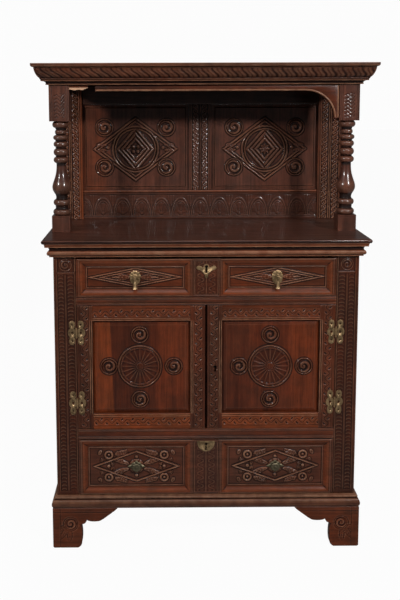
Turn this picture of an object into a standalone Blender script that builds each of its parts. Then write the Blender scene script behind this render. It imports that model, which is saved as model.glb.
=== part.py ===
"""Oak court cupboard: an open canopied stage on two turned columns over a drawer, two doors and a drawer.

Units are metres. +X is to the right seen from the front, +Y is the back and +Z is up.
The origin is on the floor, in the middle of the overall box.
"""
import math

import bmesh
import bpy
from mathutils import Matrix, Vector

# Clearances
SEAT_GAP = 0.0003
RUN_GAP = 0.0015
SLIDE_GAP = 0.0005
PIVOT_GAP = 0.0003
WELD = 0.00001

# Lower case
CASE_WIDTH = 1.010
CASE_DEPTH = 0.440
STILE_WIDTH = 0.0725
FRAME_DEPTH = 0.040
SIDE_THICKNESS = 0.024
SIDE_RAIL = 0.090
SIDE_SUNK = 0.008
BACK_THICKNESS = 0.012
FLOOR_THICKNESS = 0.020
REAR_LEG_WIDTH = 0.075

# Heights, from the floor up
FOOT_HEIGHT = 0.140
PLINTH_HEIGHT = 0.0415
LOWER_DRAWER_OPENING = 0.196
LOWER_RAIL_HEIGHT = 0.036
DOOR_OPENING = 0.4275
UPPER_RAIL_HEIGHT = 0.0285
UPPER_DRAWER_OPENING = 0.1305
TOP_RAIL_HEIGHT = 0.052
SERVING_TOP_THICKNESS = 0.012
COLUMN_HEIGHT = 0.505
CORNICE_HEIGHT = 0.071

# Mouldings and bracket feet
TOP_OVERHANG = 0.030
TOP_SIDE_OVERHANG = 0.035
TOP_MOULDING_HEIGHT = 0.045
TOP_MOULDING_REACH = 0.021
TOP_FILLET = 0.004
TOP_SCOTIA = (0.010, 0.012)
TOP_SCOTIA_DROP = 0.017
TOP_TORUS = (0.0085, 0.010)
TOP_TORUS_REACH = 0.00294
TOP_TORUS_DROP = 0.027
BASE_FILLET = (0.003, 0.004)
PLINTH_REACH = 0.0175
PLINTH_LEDGE = 0.005
PLINTH_SLOPE = (0.008, 0.009)
PLINTH_LIP = (0.010, 0.010)
PLINTH_LIP_HEIGHT = 0.003
PLINTH_TORUS = (0.009, 0.0115)
PLINTH_TORUS_RISE = 0.016
PLINTH_FILLET = 0.006
CORNICE_REACH = 0.052
CORNICE_FILLET = 0.007
CORNICE_OVOLO = (0.009, 0.011)
CORNICE_OVOLO_INSET = (0.010, 0.008)
CORNICE_BAND = (0.025, 0.028)
CORNICE_BAND_INSET = (0.036, 0.021)
CORNICE_LIP_REACH = 0.021
CORNICE_LIP_RISE = (0.018, 0.021)
CORNICE_COVE = (0.017, 0.012)
CORNICE_BASE_FILLET = (0.003, 0.006)
FOOT_THICKNESS = 0.024
FOOT_INSET = 0.002
FOOT_LENGTH = 0.2265
FOOT_WIDTH = 0.0915
FOOT_SWELL = (0.007, 0.036)
FOOT_SWELL_MIDDLE = (0.002, 0.043)
FOOT_STEPS = ((0.001, 0.085), (0.006, 0.091), (0.023, 0.095), (0.034, 0.105))
FOOT_CUSP = (0.022, 0.010)
FOOT_CUSP_MIDDLE = (0.059, 0.109)
FOOT_OGEE_REACH = 0.044
FOOT_OGEE_RISE = 0.104

# Upper stage
COLUMN_INSET = 0.012
COLUMN_SETBACK = 0.160
TOP_BLOCK = 0.069
TOP_BLOCK_HEIGHT = 0.123
BASE_BLOCK = 0.063
BASE_BLOCK_HEIGHT = 0.056
TURNING_SIDES = 20
BACK_STILE_WIDTH = 0.0955
BACK_STILE_DEPTH = 0.040
BACK_RAIL_DEPTH = 0.034
BACK_PANEL_THICKNESS = 0.016
BACK_PANEL_SUNK = 0.008
MUNTIN_WIDTH = 0.086
BACK_BOTTOM_RAIL = 0.110
BACK_TOP_RAIL = 0.070
CANOPY_THICKNESS = 0.022
APRON_HEIGHT = 0.020
APRON_THICKNESS = 0.020
APRON_SETBACK = 0.003
APRON_BROKEN_END = 0.0875
BRACKET_DROP = 0.115
BRACKET_TOE = 0.016
BRACKET_REACH = 0.1175

# Drawers
DRAWER_FRONT_THICKNESS = 0.026
DRAWER_PROUD = 0.004
DRAWER_BACK_GAP = 0.0497
DRAWER_SIDE = 0.012
DRAWER_BOTTOM = 0.008
DRAWER_HEADROOM = 0.024
CENTRE_BLOCK_WIDTH = 0.092
FIELD_BORDER = 0.031
FIELD_SIDE_BORDER = 0.037
FIELD_SUNK = 0.008

# Doors
DOOR_THICKNESS = 0.024
DOOR_FRAME = 0.0525
DOOR_PANEL_THICKNESS = 0.012
DOOR_PANEL_SUNK = 0.008

# Lobed hinges
HINGE_INSET = 0.0925
LEAF_HEIGHT = 0.082
LEAF_WIDTH = 0.029
LEAF_THICKNESS = 0.002
LEAF_WAIST = 0.45
LEAF_STEPS = 18
KNUCKLE_RADIUS = 0.0032
KNUCKLE_LENGTH = 0.012
KNUCKLE_SIDES = 16
PIN_RADIUS = 0.0016

# Brass pulls, knobs and key plates
PULL_RISE = 0.004
PLATE_RADIUS = 0.017
PLATE_SCALLOP = 0.0015
PLATE_PETALS = 8
PLATE_THICKNESS = 0.002
PULL_STAND_OFF = 0.016
EAR_THICKNESS = 0.0018
EYE_RADIUS = 0.0034
EYE_LENGTH = 0.0040
DROP_LENGTH = 0.041
DROP_RADIUS = 0.0058
DROP_STEM = 0.0016
DROP_STEM_LENGTH = 0.0094
DROP_SHOULDER = (0.0030, 0.0134)
DROP_BULB = ((0.80, 0.013), (1.0, 0.008), (0.85, 0.004), (0.45, 0.001))
DROP_SIDES = 14
KNOB_RADIUS = 0.015
KNOB_LENGTH = 0.015
KNOB_HEAD = ((0.35, 0.001), (0.55, 0.004), (0.45, 0.008))
KNOB_FOOT = ((0.35, 0.005), (0.80, 0.003), (1.0, 0.002))
KNOB_SIDES = 20
WINGED_PLATE_WIDTH = 0.068
WINGED_PLATE_HEIGHT = 0.048
WINGED_PLATE_DROP = 0.018
WINGED_PLATE_BODY = (0.0119, 0.012)
WINGED_PLATE_BODY_MIDDLE = (0.017, 0.026)
WINGED_PLATE_WING = (0.00952, 0.011)
WINGED_PLATE_CREST = ((0.0119, 0.004), (0.0051, 0.0))
ROUND_PLATE_WIDTH = 0.058
ROUND_PLATE_HEIGHT = 0.036
ROUND_PLATE_DROP = 0.004

# Locks
LOCK_WIDTH = 0.060
LOCK_HEIGHT = 0.048
LOCK_THICKNESS = 0.013
BOLT_WIDTH = 0.018
BOLT_THICKNESS = 0.006
BOLT_LENGTH = 0.030
BOLT_THROW = 0.010
BOLT_GAP = 0.0004
LOCK_EDGE_GAP = 0.003

# Planes and levels that follow from the sizes above
DEPTH = CASE_DEPTH + TOP_OVERHANG
FRONT_Y = -DEPTH / 2 + TOP_OVERHANG
BACK_Y = DEPTH / 2
CASE_HALF = CASE_WIDTH / 2
OPENING_HALF = CASE_HALF - STILE_WIDTH
SIDE_INNER = CASE_HALF - SIDE_THICKNESS
BEHIND_FRAME_Y = FRONT_Y + FRAME_DEPTH + SEAT_GAP
BEFORE_BACK_Y = BACK_Y - BACK_THICKNESS - SEAT_GAP
PLINTH_TOP = FOOT_HEIGHT + PLINTH_HEIGHT
LOWER_RAIL_Z = PLINTH_TOP + LOWER_DRAWER_OPENING
DOOR_Z = LOWER_RAIL_Z + LOWER_RAIL_HEIGHT
UPPER_RAIL_Z = DOOR_Z + DOOR_OPENING
UPPER_DRAWER_Z = UPPER_RAIL_Z + UPPER_RAIL_HEIGHT
TOP_RAIL_Z = UPPER_DRAWER_Z + UPPER_DRAWER_OPENING
CASE_TOP = TOP_RAIL_Z + TOP_RAIL_HEIGHT
SERVING_Z = CASE_TOP + SEAT_GAP + SERVING_TOP_THICKNESS
TOP_HALF = CASE_HALF + TOP_SIDE_OVERHANG
POST_OUTER = TOP_HALF - COLUMN_INSET
COLUMN_X = POST_OUTER - TOP_BLOCK / 2
COLUMN_Y = FRONT_Y + COLUMN_SETBACK
POST_FRONT_Y = COLUMN_Y - TOP_BLOCK / 2
POST_INNER = POST_OUTER - TOP_BLOCK
STAGE_Z = SERVING_Z + SEAT_GAP
CANOPY_Z = STAGE_Z + COLUMN_HEIGHT
BACK_STILE_INNER = TOP_HALF - BACK_STILE_WIDTH
DRAWER_HALF = OPENING_HALF - RUN_GAP
DRAWER_FACE_Y = FRONT_Y - DRAWER_PROUD
DRAWER_INSIDE_Y = DRAWER_FACE_Y + DRAWER_FRONT_THICKNESS
FIELD_FACE_Y = DRAWER_FACE_Y + FIELD_SUNK
FIELD_INNER = CENTRE_BLOCK_WIDTH / 2 + FIELD_BORDER
FIELD_OUTER = DRAWER_HALF - FIELD_SIDE_BORDER
FIELD_MIDDLE = (FIELD_INNER + FIELD_OUTER) / 2
HINGE_X = OPENING_HALF - RUN_GAP / 2
HINGE_Y = FRONT_Y - SEAT_GAP - KNUCKLE_RADIUS

# Finishes: colour, roughness, metallic
DARK_OAK = ((0.055, 0.020, 0.013), 0.38, 0.0)
RED_OAK = ((0.115, 0.026, 0.012), 0.36, 0.0)
PLAIN_OAK = ((0.150, 0.075, 0.038), 0.65, 0.0)
BRASS = ((0.420, 0.290, 0.105), 0.42, 1.0)
IRON = ((0.060, 0.055, 0.052), 0.60, 1.0)

# Turned column, from the top block down: kind, height, radius
TURNING_ABOVE_VASE = (
    ("ring", 0.0235, 0.0285),
    ("neck", 0.006, 0.0180),
    ("ring", 0.017, 0.0200),
    ("neck", 0.002, 0.0180),
    ("ring", 0.0135, 0.0258),
    ("neck", 0.007, 0.0190),
    ("ring", 0.0205, 0.0252),
    ("neck", 0.004, 0.0190),
    ("ring", 0.0265, 0.0256),
    ("neck", 0.0025, 0.0195),
    ("ring", 0.022, 0.0260),
)
TURNING_BELOW_VASE = (
    ("neck", 0.0135, 0.0205),
    ("ring", 0.020, 0.0280),
    ("neck", 0.0135, 0.0220),
    ("ring", 0.0215, 0.0305),
)
VASE_NECK = 0.0165
VASE_BELLY = 0.0310
RING_POINTS = 5
VASE_POINTS = 9


def clear_scene():
    """Remove every object and collection."""
    for obj in list(bpy.data.objects):
        bpy.data.objects.remove(obj)
    for collection in list(bpy.data.collections):
        bpy.data.collections.remove(collection)


def new_collection(name):
    collection = bpy.data.collections.new(name)
    bpy.context.scene.collection.children.link(collection)
    return collection


clear_scene()
PARTS = new_collection("court_cupboard")
CUTTERS = new_collection("cutters")


def add_part(name, mesh, look):
    """Link a mesh as a named sub-part with a Principled material of its own."""
    obj = bpy.data.objects.new(name, mesh)
    PARTS.objects.link(obj)
    colour, roughness, metallic = look
    material = bpy.data.materials.new(name)
    material.use_nodes = True
    shader = material.node_tree.nodes["Principled BSDF"]
    shader.inputs["Base Color"].default_value = (*colour, 1.0)
    shader.inputs["Roughness"].default_value = roughness
    shader.inputs["Metallic"].default_value = metallic
    mesh.materials.append(material)
    return obj


def add_tool(name, mesh):
    """Link a mesh as a hidden tool of a Boolean."""
    obj = bpy.data.objects.new(name, mesh)
    CUTTERS.objects.link(obj)
    obj.hide_render = True
    obj.display_type = "WIRE"
    return obj


def shape_with(obj, tool, operation):
    """Cut a tool from an object, or join it on."""
    modifier = obj.modifiers.new(tool.name, "BOOLEAN")
    modifier.operation = operation
    modifier.solver = "EXACT"
    modifier.object = tool


def box_mesh(name, size):
    mesh = bpy.data.meshes.new(name)
    shape = bmesh.new()
    bmesh.ops.create_cube(shape, size=1.0, matrix=Matrix.Diagonal((*size, 1.0)))
    shape.to_mesh(mesh)
    shape.free()
    return mesh


def box_size_and_middle(x, y, z):
    low = Vector((x[0], y[0], z[0]))
    high = Vector((x[1], y[1], z[1]))
    return high - low, (low + high) / 2


def board(name, look, x, y, z):
    """A board between the limits given along each axis."""
    size, middle = box_size_and_middle(x, y, z)
    obj = add_part(name, box_mesh(name, size), look)
    obj.location = middle
    return obj


def cut_box(obj, name, x, y, z):
    """Cut a box between the given limits out of an object."""
    size, middle = box_size_and_middle(x, y, z)
    tool = add_tool(name, box_mesh(name, size))
    tool.location = middle
    shape_with(obj, tool, "DIFFERENCE")


def join_box(obj, name, x, y, z):
    """Join a box between the given limits to an object."""
    size, middle = box_size_and_middle(x, y, z)
    tool = add_tool(name, box_mesh(name, size))
    tool.location = middle
    shape_with(obj, tool, "UNION")


def guide_object(name, data):
    """A passing object that holds a curve, or a profile with its Screw."""
    guide = bpy.data.objects.new(name, data)
    bpy.context.scene.collection.objects.link(guide)
    return guide


def welded(guide):
    """Take the evaluated mesh of a guide object, weld it and remove the guide."""
    depsgraph = bpy.context.evaluated_depsgraph_get()
    mesh = bpy.data.meshes.new_from_object(guide.evaluated_get(depsgraph))
    mesh.name = guide.name
    shape = bmesh.new()
    shape.from_mesh(mesh)
    bmesh.ops.remove_doubles(shape, verts=shape.verts, dist=WELD)
    bmesh.ops.recalc_face_normals(shape, faces=shape.faces)
    shape.to_mesh(mesh)
    shape.free()
    bpy.data.objects.remove(guide)
    return mesh


def outline_mesh(name, points, thickness):
    """Extrude a closed outline in its own XY plane, half the thickness to each side."""
    curve = bpy.data.curves.new(name, "CURVE")
    curve.dimensions = "2D"
    curve.fill_mode = "BOTH"
    curve.extrude = thickness / 2
    spline = curve.splines.new("POLY")
    spline.points.add(len(points) - 1)
    for point, (u, v) in zip(spline.points, points):
        point.co = (u, v, 0.0, 1.0)
    spline.use_cyclic_u = True
    return welded(guide_object(name, curve))


def stand_facing_front(obj, middle_y):
    """Turn an outline drawn as (x, z) upright, facing the front."""
    obj.rotation_euler = (math.pi / 2, 0.0, 0.0)
    obj.location = (0.0, middle_y, 0.0)


def stand_facing_side(obj, middle_x):
    """Turn an outline drawn as (y, z) upright, facing a side."""
    obj.rotation_euler = (math.pi / 2, 0.0, math.pi / 2)
    obj.location = (middle_x, 0.0, 0.0)


def turned_mesh(name, profile, sides):
    """Turn a profile of (radius, height) points, listed top to bottom, about its own Z axis."""
    mesh = bpy.data.meshes.new(name)
    shape = bmesh.new()
    verts = [shape.verts.new((radius, 0.0, height)) for radius, height in profile]
    for upper, lower in zip(verts, verts[1:]):
        shape.edges.new((upper, lower))
    shape.to_mesh(mesh)
    shape.free()
    guide = guide_object(name, mesh)
    screw = guide.modifiers.new("Turn", "SCREW")
    screw.axis = "Z"
    screw.steps = sides
    screw.render_steps = sides
    screw.use_merge_vertices = True
    screw.merge_threshold = WELD
    return welded(guide)


def rod_mesh(name, radius, length, sides):
    """A round bar along its own Z axis, about its middle."""
    mesh = bpy.data.meshes.new(name)
    shape = bmesh.new()
    bmesh.ops.create_cone(
        shape, cap_ends=True, segments=sides, radius1=radius, radius2=radius, depth=length)
    shape.to_mesh(mesh)
    shape.free()
    return mesh


def smooth(obj, angle=math.radians(40)):
    obj.data.shade_smooth()
    obj.data.set_sharp_from_angle(angle=angle)


def arc(centre, radii, start, end, count):
    """Points along an ellipse arc, with angles in degrees."""
    points = []
    for i in range(count + 1):
        angle = math.radians(start + (end - start) * i / count)
        points.append((centre[0] + radii[0] * math.cos(angle), centre[1] + radii[1] * math.sin(angle)))
    return points


def moulding(name, look, profile, half_width, front_y):
    """A run of moulding round the front and both sides, mitred at the front corners.

    The profile is a closed outline of (reach, height), with reach measured out from the faces it is fixed to.
    """
    mesh = bpy.data.meshes.new(name)
    shape = bmesh.new()
    rings = []
    for side, at_front in ((-1, False), (-1, True), (1, True), (1, False)):
        ring = []
        for reach, height in profile:
            y = front_y - SEAT_GAP - reach if at_front else BACK_Y
            ring.append(shape.verts.new((side * (half_width + SEAT_GAP + reach), y, height)))
        rings.append(ring)
    for ring, following in zip(rings, rings[1:]):
        for i in range(len(ring)):
            j = (i + 1) % len(ring)
            shape.faces.new((ring[i], ring[j], following[j], following[i]))
    shape.faces.new(rings[0])
    shape.faces.new(rings[-1])
    bmesh.ops.recalc_face_normals(shape, faces=shape.faces)
    shape.to_mesh(mesh)
    shape.free()
    return add_part(name, mesh, look)


def pivot(name, location, pieces):
    """Hang pieces on an empty that stands on their joint's axis."""
    empty = bpy.data.objects.new(name, None)
    PARTS.objects.link(empty)
    empty.location = location
    for piece in pieces:
        piece.parent = empty
        piece.matrix_parent_inverse = Matrix.Translation(-Vector(location))


def side_name(side):
    return "left" if side < 0 else "right"


def span(side, inner, outer):
    """Limits along X for a piece on one side, from its inner and outer distance to the middle."""
    return (inner, outer) if side > 0 else (-outer, -inner)


# Lower case

def build_front_stiles():
    for side in (-1, 1):
        board(
            "front_stile_" + side_name(side), DARK_OAK,
            span(side, OPENING_HALF, CASE_HALF),
            (FRONT_Y, FRONT_Y + FRAME_DEPTH),
            (FOOT_HEIGHT, CASE_TOP))


def build_sides():
    """Framed sides that run down to the floor as rear legs, each with two sunk panels."""
    leg_y = BACK_Y - REAR_LEG_WIDTH
    points = (
        (BEHIND_FRAME_Y, FOOT_HEIGHT), (leg_y, FOOT_HEIGHT), (leg_y, 0.0),
        (BACK_Y, 0.0), (BACK_Y, CASE_TOP), (BEHIND_FRAME_Y, CASE_TOP))
    panel_y = (BEHIND_FRAME_Y + SIDE_RAIL / 2, leg_y)
    middle_z = (PLINTH_TOP + CASE_TOP) / 2
    panels = (
        (PLINTH_TOP + SIDE_RAIL / 2, middle_z - SIDE_RAIL / 2),
        (middle_z + SIDE_RAIL / 2, CASE_TOP - SIDE_RAIL))
    for side in (-1, 1):
        name = "side_" + side_name(side)
        obj = add_part(name, outline_mesh(name, points, SIDE_THICKNESS), DARK_OAK)
        stand_facing_side(obj, side * (CASE_HALF - SIDE_THICKNESS / 2))
        for i, panel_z in enumerate(panels):
            sunk = span(side, CASE_HALF - SIDE_SUNK, CASE_HALF + SIDE_SUNK)
            cut_box(obj, f"{name}_sunk_{i}", sunk, panel_y, panel_z)


def build_back():
    inner = SIDE_INNER - SEAT_GAP
    board(
        "lower_back", PLAIN_OAK, (-inner, inner),
        (BACK_Y - BACK_THICKNESS, BACK_Y), (FOOT_HEIGHT, CASE_TOP))


def bolt_slot(rail, rail_z):
    """Cut the mortise for a drawer lock's bolt into the underside of a rail."""
    bolt_y = DRAWER_INSIDE_Y + SEAT_GAP + (LOCK_THICKNESS - BOLT_THICKNESS) / 2
    half = BOLT_WIDTH / 2 + RUN_GAP
    cut_box(
        rail, rail.name + "_mortise", (-half, half),
        (bolt_y - RUN_GAP, bolt_y + BOLT_THICKNESS + RUN_GAP),
        (rail_z - BOLT_THROW, rail_z + BOLT_THROW + RUN_GAP))


def build_rails():
    """The rails between the stiles. The two over the drawers take the lock bolts."""
    inner = OPENING_HALF - SEAT_GAP
    levels = (
        ("lower_rail", LOWER_RAIL_Z, LOWER_RAIL_HEIGHT, True),
        ("upper_rail", UPPER_RAIL_Z, UPPER_RAIL_HEIGHT, False),
        ("top_rail", TOP_RAIL_Z, TOP_RAIL_HEIGHT, True))
    for name, low, height, takes_bolt in levels:
        rail = board(
            name, DARK_OAK, (-inner, inner), (FRONT_Y, FRONT_Y + FRAME_DEPTH), (low, low + height))
        if takes_bolt:
            bolt_slot(rail, low)


def build_floors():
    """The boards that carry the drawers and close the cupboard."""
    inner = SIDE_INNER - SEAT_GAP
    tongue = OPENING_HALF - SEAT_GAP
    points = (
        (-tongue, FRONT_Y), (tongue, FRONT_Y), (tongue, BEHIND_FRAME_Y), (inner, BEHIND_FRAME_Y),
        (inner, BEFORE_BACK_Y), (-inner, BEFORE_BACK_Y), (-inner, BEHIND_FRAME_Y), (-tongue, BEHIND_FRAME_Y))
    bottom = add_part("bottom_board", outline_mesh("bottom_board", points, FLOOR_THICKNESS), PLAIN_OAK)
    bottom.location.z = PLINTH_TOP - FLOOR_THICKNESS / 2
    for name, level in (("cupboard_floor", DOOR_Z), ("dust_board", UPPER_DRAWER_Z)):
        board(
            name, PLAIN_OAK, (-inner, inner),
            (BEHIND_FRAME_Y, BEFORE_BACK_Y), (level - FLOOR_THICKNESS, level))


def build_top_moulding():
    """A fillet, a hollow and a torus under the serving top."""
    top = CASE_TOP
    low = CASE_TOP - TOP_MOULDING_HEIGHT
    reach = TOP_MOULDING_REACH
    fillet_reach, fillet_height = BASE_FILLET
    profile = [(0.0, top), (reach, top), (reach, top - TOP_FILLET)]
    profile += arc((reach, top - TOP_SCOTIA_DROP), TOP_SCOTIA, 95, 180, 4)
    profile += arc((TOP_TORUS_REACH, top - TOP_TORUS_DROP), TOP_TORUS, 60, -70, 5)
    profile += [(fillet_reach, low + fillet_height), (fillet_reach, low), (0.0, low)]
    moulding("top_moulding", DARK_OAK, profile, CASE_HALF, FRONT_Y)


def build_plinth_moulding():
    """A weathered slope, a lip, a torus and a fillet over the feet."""
    top = PLINTH_TOP
    low = FOOT_HEIGHT
    reach = PLINTH_REACH
    lip_reach, lip_drop = PLINTH_LIP
    profile = [(0.0, top), (PLINTH_LEDGE, top), (PLINTH_SLOPE[0], top - PLINTH_SLOPE[1])]
    profile += [(lip_reach, top - lip_drop), (lip_reach, top - lip_drop - PLINTH_LIP_HEIGHT)]
    profile += arc((reach - PLINTH_TORUS[0], low + PLINTH_TORUS_RISE), PLINTH_TORUS, 80, -10, 5)
    profile += [(reach, low + PLINTH_FILLET), (reach, low), (0.0, low)]
    moulding("plinth_moulding", DARK_OAK, profile, CASE_HALF, FRONT_Y)


def foot_outline():
    """A bracket foot from its outer corner inwards: (distance from the corner, height)."""
    top = FOOT_HEIGHT - SEAT_GAP
    knee = FOOT_WIDTH
    swell_along, swell_height = FOOT_SWELL_MIDDLE
    cusp_along, cusp_height = FOOT_CUSP_MIDDLE
    points = [(0.0, 0.0), (knee, 0.0)]
    points += arc((knee + swell_along, swell_height), FOOT_SWELL, -90, 90, 6)
    points += [(knee + along, height) for along, height in FOOT_STEPS]
    points += arc((knee + cusp_along, cusp_height), FOOT_CUSP, 190, 350, 6)
    points += arc((FOOT_LENGTH, FOOT_OGEE_RISE), (FOOT_OGEE_REACH, top - FOOT_OGEE_RISE), 170, 90, 5)
    points += [(0.0, top)]
    return points


def build_front_feet():
    """Bracket feet: a shaped front and a shaped return along the side, glued at the corner."""
    corner = PLINTH_REACH - FOOT_INSET
    outline = foot_outline()
    for side in (-1, 1):
        name = "foot_" + side_name(side)
        front = [(side * (CASE_HALF + corner - along), height) for along, height in outline]
        obj = add_part(name, outline_mesh(name, front, FOOT_THICKNESS), DARK_OAK)
        stand_facing_front(obj, FRONT_Y - corner + FOOT_THICKNESS / 2)
        back = [(FRONT_Y - corner + along, height) for along, height in outline]
        tool = add_tool(name + "_return", outline_mesh(name + "_return", back, FOOT_THICKNESS))
        stand_facing_side(tool, side * (CASE_HALF + corner - FOOT_THICKNESS / 2))
        shape_with(obj, tool, "UNION")


def build_serving_top():
    board(
        "serving_top", DARK_OAK, (-TOP_HALF, TOP_HALF),
        (FRONT_Y - TOP_OVERHANG, BACK_Y), (CASE_TOP + SEAT_GAP, SERVING_Z))


# Upper stage

def ring_profile(inner, radius, top, height):
    """A half-round ring that swells from the inner radius."""
    points = []
    for i in range(RING_POINTS):
        along = (i + 0.5) / RING_POINTS
        swell = math.sqrt(1.0 - (2.0 * along - 1.0) ** 2)
        points.append((inner + (radius - inner) * swell, top - height * along))
    return points


def turning_profile():
    """The column's turned stretch from the top block down, with the vase taking up what height is left."""
    top = CANOPY_Z - SEAT_GAP - TOP_BLOCK_HEIGHT
    low = STAGE_Z + BASE_BLOCK_HEIGHT
    fixed = sum(height for _, height, _ in TURNING_ABOVE_VASE + TURNING_BELOW_VASE)
    vase_height = top - low - fixed
    points = []
    level = top

    def turn(elements, neck):
        nonlocal level
        for kind, height, radius in elements:
            if kind == "neck":
                neck = radius
                points.append((radius, level - height / 2))
            else:
                points.extend(ring_profile(neck, radius, level, height))
            level -= height

    turn(TURNING_ABOVE_VASE, TURNING_ABOVE_VASE[1][2])
    for i in range(VASE_POINTS + 1):
        along = i / VASE_POINTS
        swell = max(0.0, math.sin(math.pi * along ** 2.2)) ** 1.25
        foot = along ** 4 * (TURNING_BELOW_VASE[0][2] - VASE_NECK)
        points.append((VASE_NECK + foot + (VASE_BELLY - VASE_NECK) * swell, level - vase_height * along))
    level -= vase_height
    turn(TURNING_BELOW_VASE, TURNING_BELOW_VASE[0][2])
    bury = BASE_BLOCK_HEIGHT / 4
    first = (points[0][0], top + bury)
    last = (points[-1][0], low - bury)
    return [(0.0, first[1]), first] + points + [last, (0.0, last[1])]


def build_columns():
    """Columns turned from one post, square at both ends."""
    profile = turning_profile()
    half = TOP_BLOCK / 2
    for side in (-1, 1):
        name = "column_" + side_name(side)
        column = add_part(name, turned_mesh(name, profile, TURNING_SIDES), DARK_OAK)
        column.location = (side * COLUMN_X, COLUMN_Y, 0.0)
        smooth(column)
        x = side * COLUMN_X
        join_box(
            column, name + "_top_block", (x - half, x + half), (COLUMN_Y - half, COLUMN_Y + half),
            (CANOPY_Z - SEAT_GAP - TOP_BLOCK_HEIGHT, CANOPY_Z - SEAT_GAP))
        base = BASE_BLOCK / 2
        join_box(
            column, name + "_base_block", (x - base, x + base), (COLUMN_Y - base, COLUMN_Y + base),
            (STAGE_Z, STAGE_Z + BASE_BLOCK_HEIGHT))


def build_stage_back():
    """Framed back of the open stage: stiles, muntin and rails round two panels."""
    top = CANOPY_Z - SEAT_GAP
    inner = BACK_STILE_INNER - SEAT_GAP
    rail_y = (BACK_Y - BACK_RAIL_DEPTH, BACK_Y)
    bottom_z = STAGE_Z + BACK_BOTTOM_RAIL
    top_z = top - BACK_TOP_RAIL
    muntin = MUNTIN_WIDTH / 2
    panel_front = BACK_Y - BACK_RAIL_DEPTH + BACK_PANEL_SUNK
    for side in (-1, 1):
        board(
            "back_stile_" + side_name(side), DARK_OAK, span(side, BACK_STILE_INNER, TOP_HALF),
            (BACK_Y - BACK_STILE_DEPTH, BACK_Y), (STAGE_Z, top))
        board(
            "back_panel_" + side_name(side), RED_OAK, span(side, muntin + SEAT_GAP, inner),
            (panel_front, panel_front + BACK_PANEL_THICKNESS), (bottom_z + SEAT_GAP, top_z - SEAT_GAP))
    board("back_bottom_rail", DARK_OAK, (-inner, inner), rail_y, (STAGE_Z, bottom_z))
    board("back_top_rail", DARK_OAK, (-inner, inner), rail_y, (top_z, top))
    board(
        "back_muntin", DARK_OAK, (-muntin, muntin), rail_y, (bottom_z + SEAT_GAP, top_z - SEAT_GAP))


def build_canopy():
    board(
        "canopy_board", DARK_OAK, (-POST_OUTER, POST_OUTER), (POST_FRONT_Y, BACK_Y),
        (CANOPY_Z, CANOPY_Z + CANOPY_THICKNESS))
    low = CANOPY_Z
    top = CANOPY_Z + CORNICE_HEIGHT
    reach = CORNICE_REACH
    lip = CORNICE_LIP_REACH
    lip_low, lip_high = CORNICE_LIP_RISE
    base_reach, base_height = CORNICE_BASE_FILLET
    ovolo_middle = (reach - CORNICE_OVOLO_INSET[0], top - CORNICE_OVOLO_INSET[1])
    band_middle = (reach - CORNICE_BAND_INSET[0], top - CORNICE_BAND_INSET[1])
    profile = [(0.0, top), (reach, top), (reach, top - CORNICE_FILLET)]
    profile += arc(ovolo_middle, CORNICE_OVOLO, 0, -90, 4)
    profile += arc(band_middle, CORNICE_BAND, 0, -60, 5)
    profile += [(lip, low + lip_high), (lip, low + lip_low)]
    profile += arc((lip, low + base_height), CORNICE_COVE, 95, 180, 4)
    profile += [(base_reach, low + base_height), (base_reach, low), (0.0, low)]
    moulding("cornice", DARK_OAK, profile, POST_OUTER, POST_FRONT_Y)


def build_apron():
    """The rail under the canopy's front, arched down to the right post and broken short at the left."""
    top = CANOPY_Z - SEAT_GAP
    low = top - APRON_HEIGHT
    right = POST_INNER - SEAT_GAP
    toe = top - BRACKET_DROP
    radii = (BRACKET_REACH - BRACKET_TOE, low - toe)
    points = [(-POST_INNER + APRON_BROKEN_END, top), (-POST_INNER + APRON_BROKEN_END, low)]
    points += arc((right - BRACKET_REACH, toe), radii, 90, 0, 8)
    points += [(right, toe), (right, top)]
    obj = add_part("apron", outline_mesh("apron", points, APRON_THICKNESS), DARK_OAK)
    stand_facing_front(obj, POST_FRONT_Y + APRON_SETBACK + APRON_THICKNESS / 2)


# Drawers and their fittings

def build_lock(prefix, case_limits, bolt_limits, mouth):
    """A lock case with a channel for its bolt, open along the mouth, a signed axis index such as (2, 1)."""
    case = board(prefix + "_lock", IRON, *case_limits)
    channel = [[low - BOLT_GAP, high + BOLT_GAP] for low, high in bolt_limits]
    axis, sign = mouth
    end = 1 if sign > 0 else 0
    channel[axis][end] += sign * LOCK_HEIGHT
    cut_box(case, prefix + "_lock_channel", *channel)
    bolt = board(prefix + "_bolt", IRON, *bolt_limits)
    pivot(prefix + "_bolt_slide", bolt.location, [bolt])
    return case


def drawer_lock(prefix, rail_z):
    back_y = DRAWER_INSIDE_Y + SEAT_GAP
    top = rail_z - RUN_GAP - LOCK_EDGE_GAP
    bolt_y = back_y + (LOCK_THICKNESS - BOLT_THICKNESS) / 2
    case_limits = (
        (-LOCK_WIDTH / 2, LOCK_WIDTH / 2), (back_y, back_y + LOCK_THICKNESS), (top - LOCK_HEIGHT, top))
    bolt_limits = (
        (-BOLT_WIDTH / 2, BOLT_WIDTH / 2), (bolt_y, bolt_y + BOLT_THICKNESS), (top - BOLT_LENGTH, top))
    return build_lock(prefix, case_limits, bolt_limits, (2, 1))


def plate_outline(radius, scallop, petals):
    """A round plate with a petalled rim."""
    points = []
    steps = petals * 4
    for i in range(steps):
        angle = 2 * math.pi * i / steps
        rim = radius - scallop * (1 + math.cos(petals * angle)) / 2
        points.append((rim * math.cos(angle), rim * math.sin(angle)))
    return points


def brass_plate(name, points, face_y):
    """A flat brass plate seated on a face that looks forward, drawn as (x, z)."""
    obj = add_part(name, outline_mesh(name, points, PLATE_THICKNESS), BRASS)
    stand_facing_front(obj, face_y - SEAT_GAP - PLATE_THICKNESS / 2)
    return obj


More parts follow.
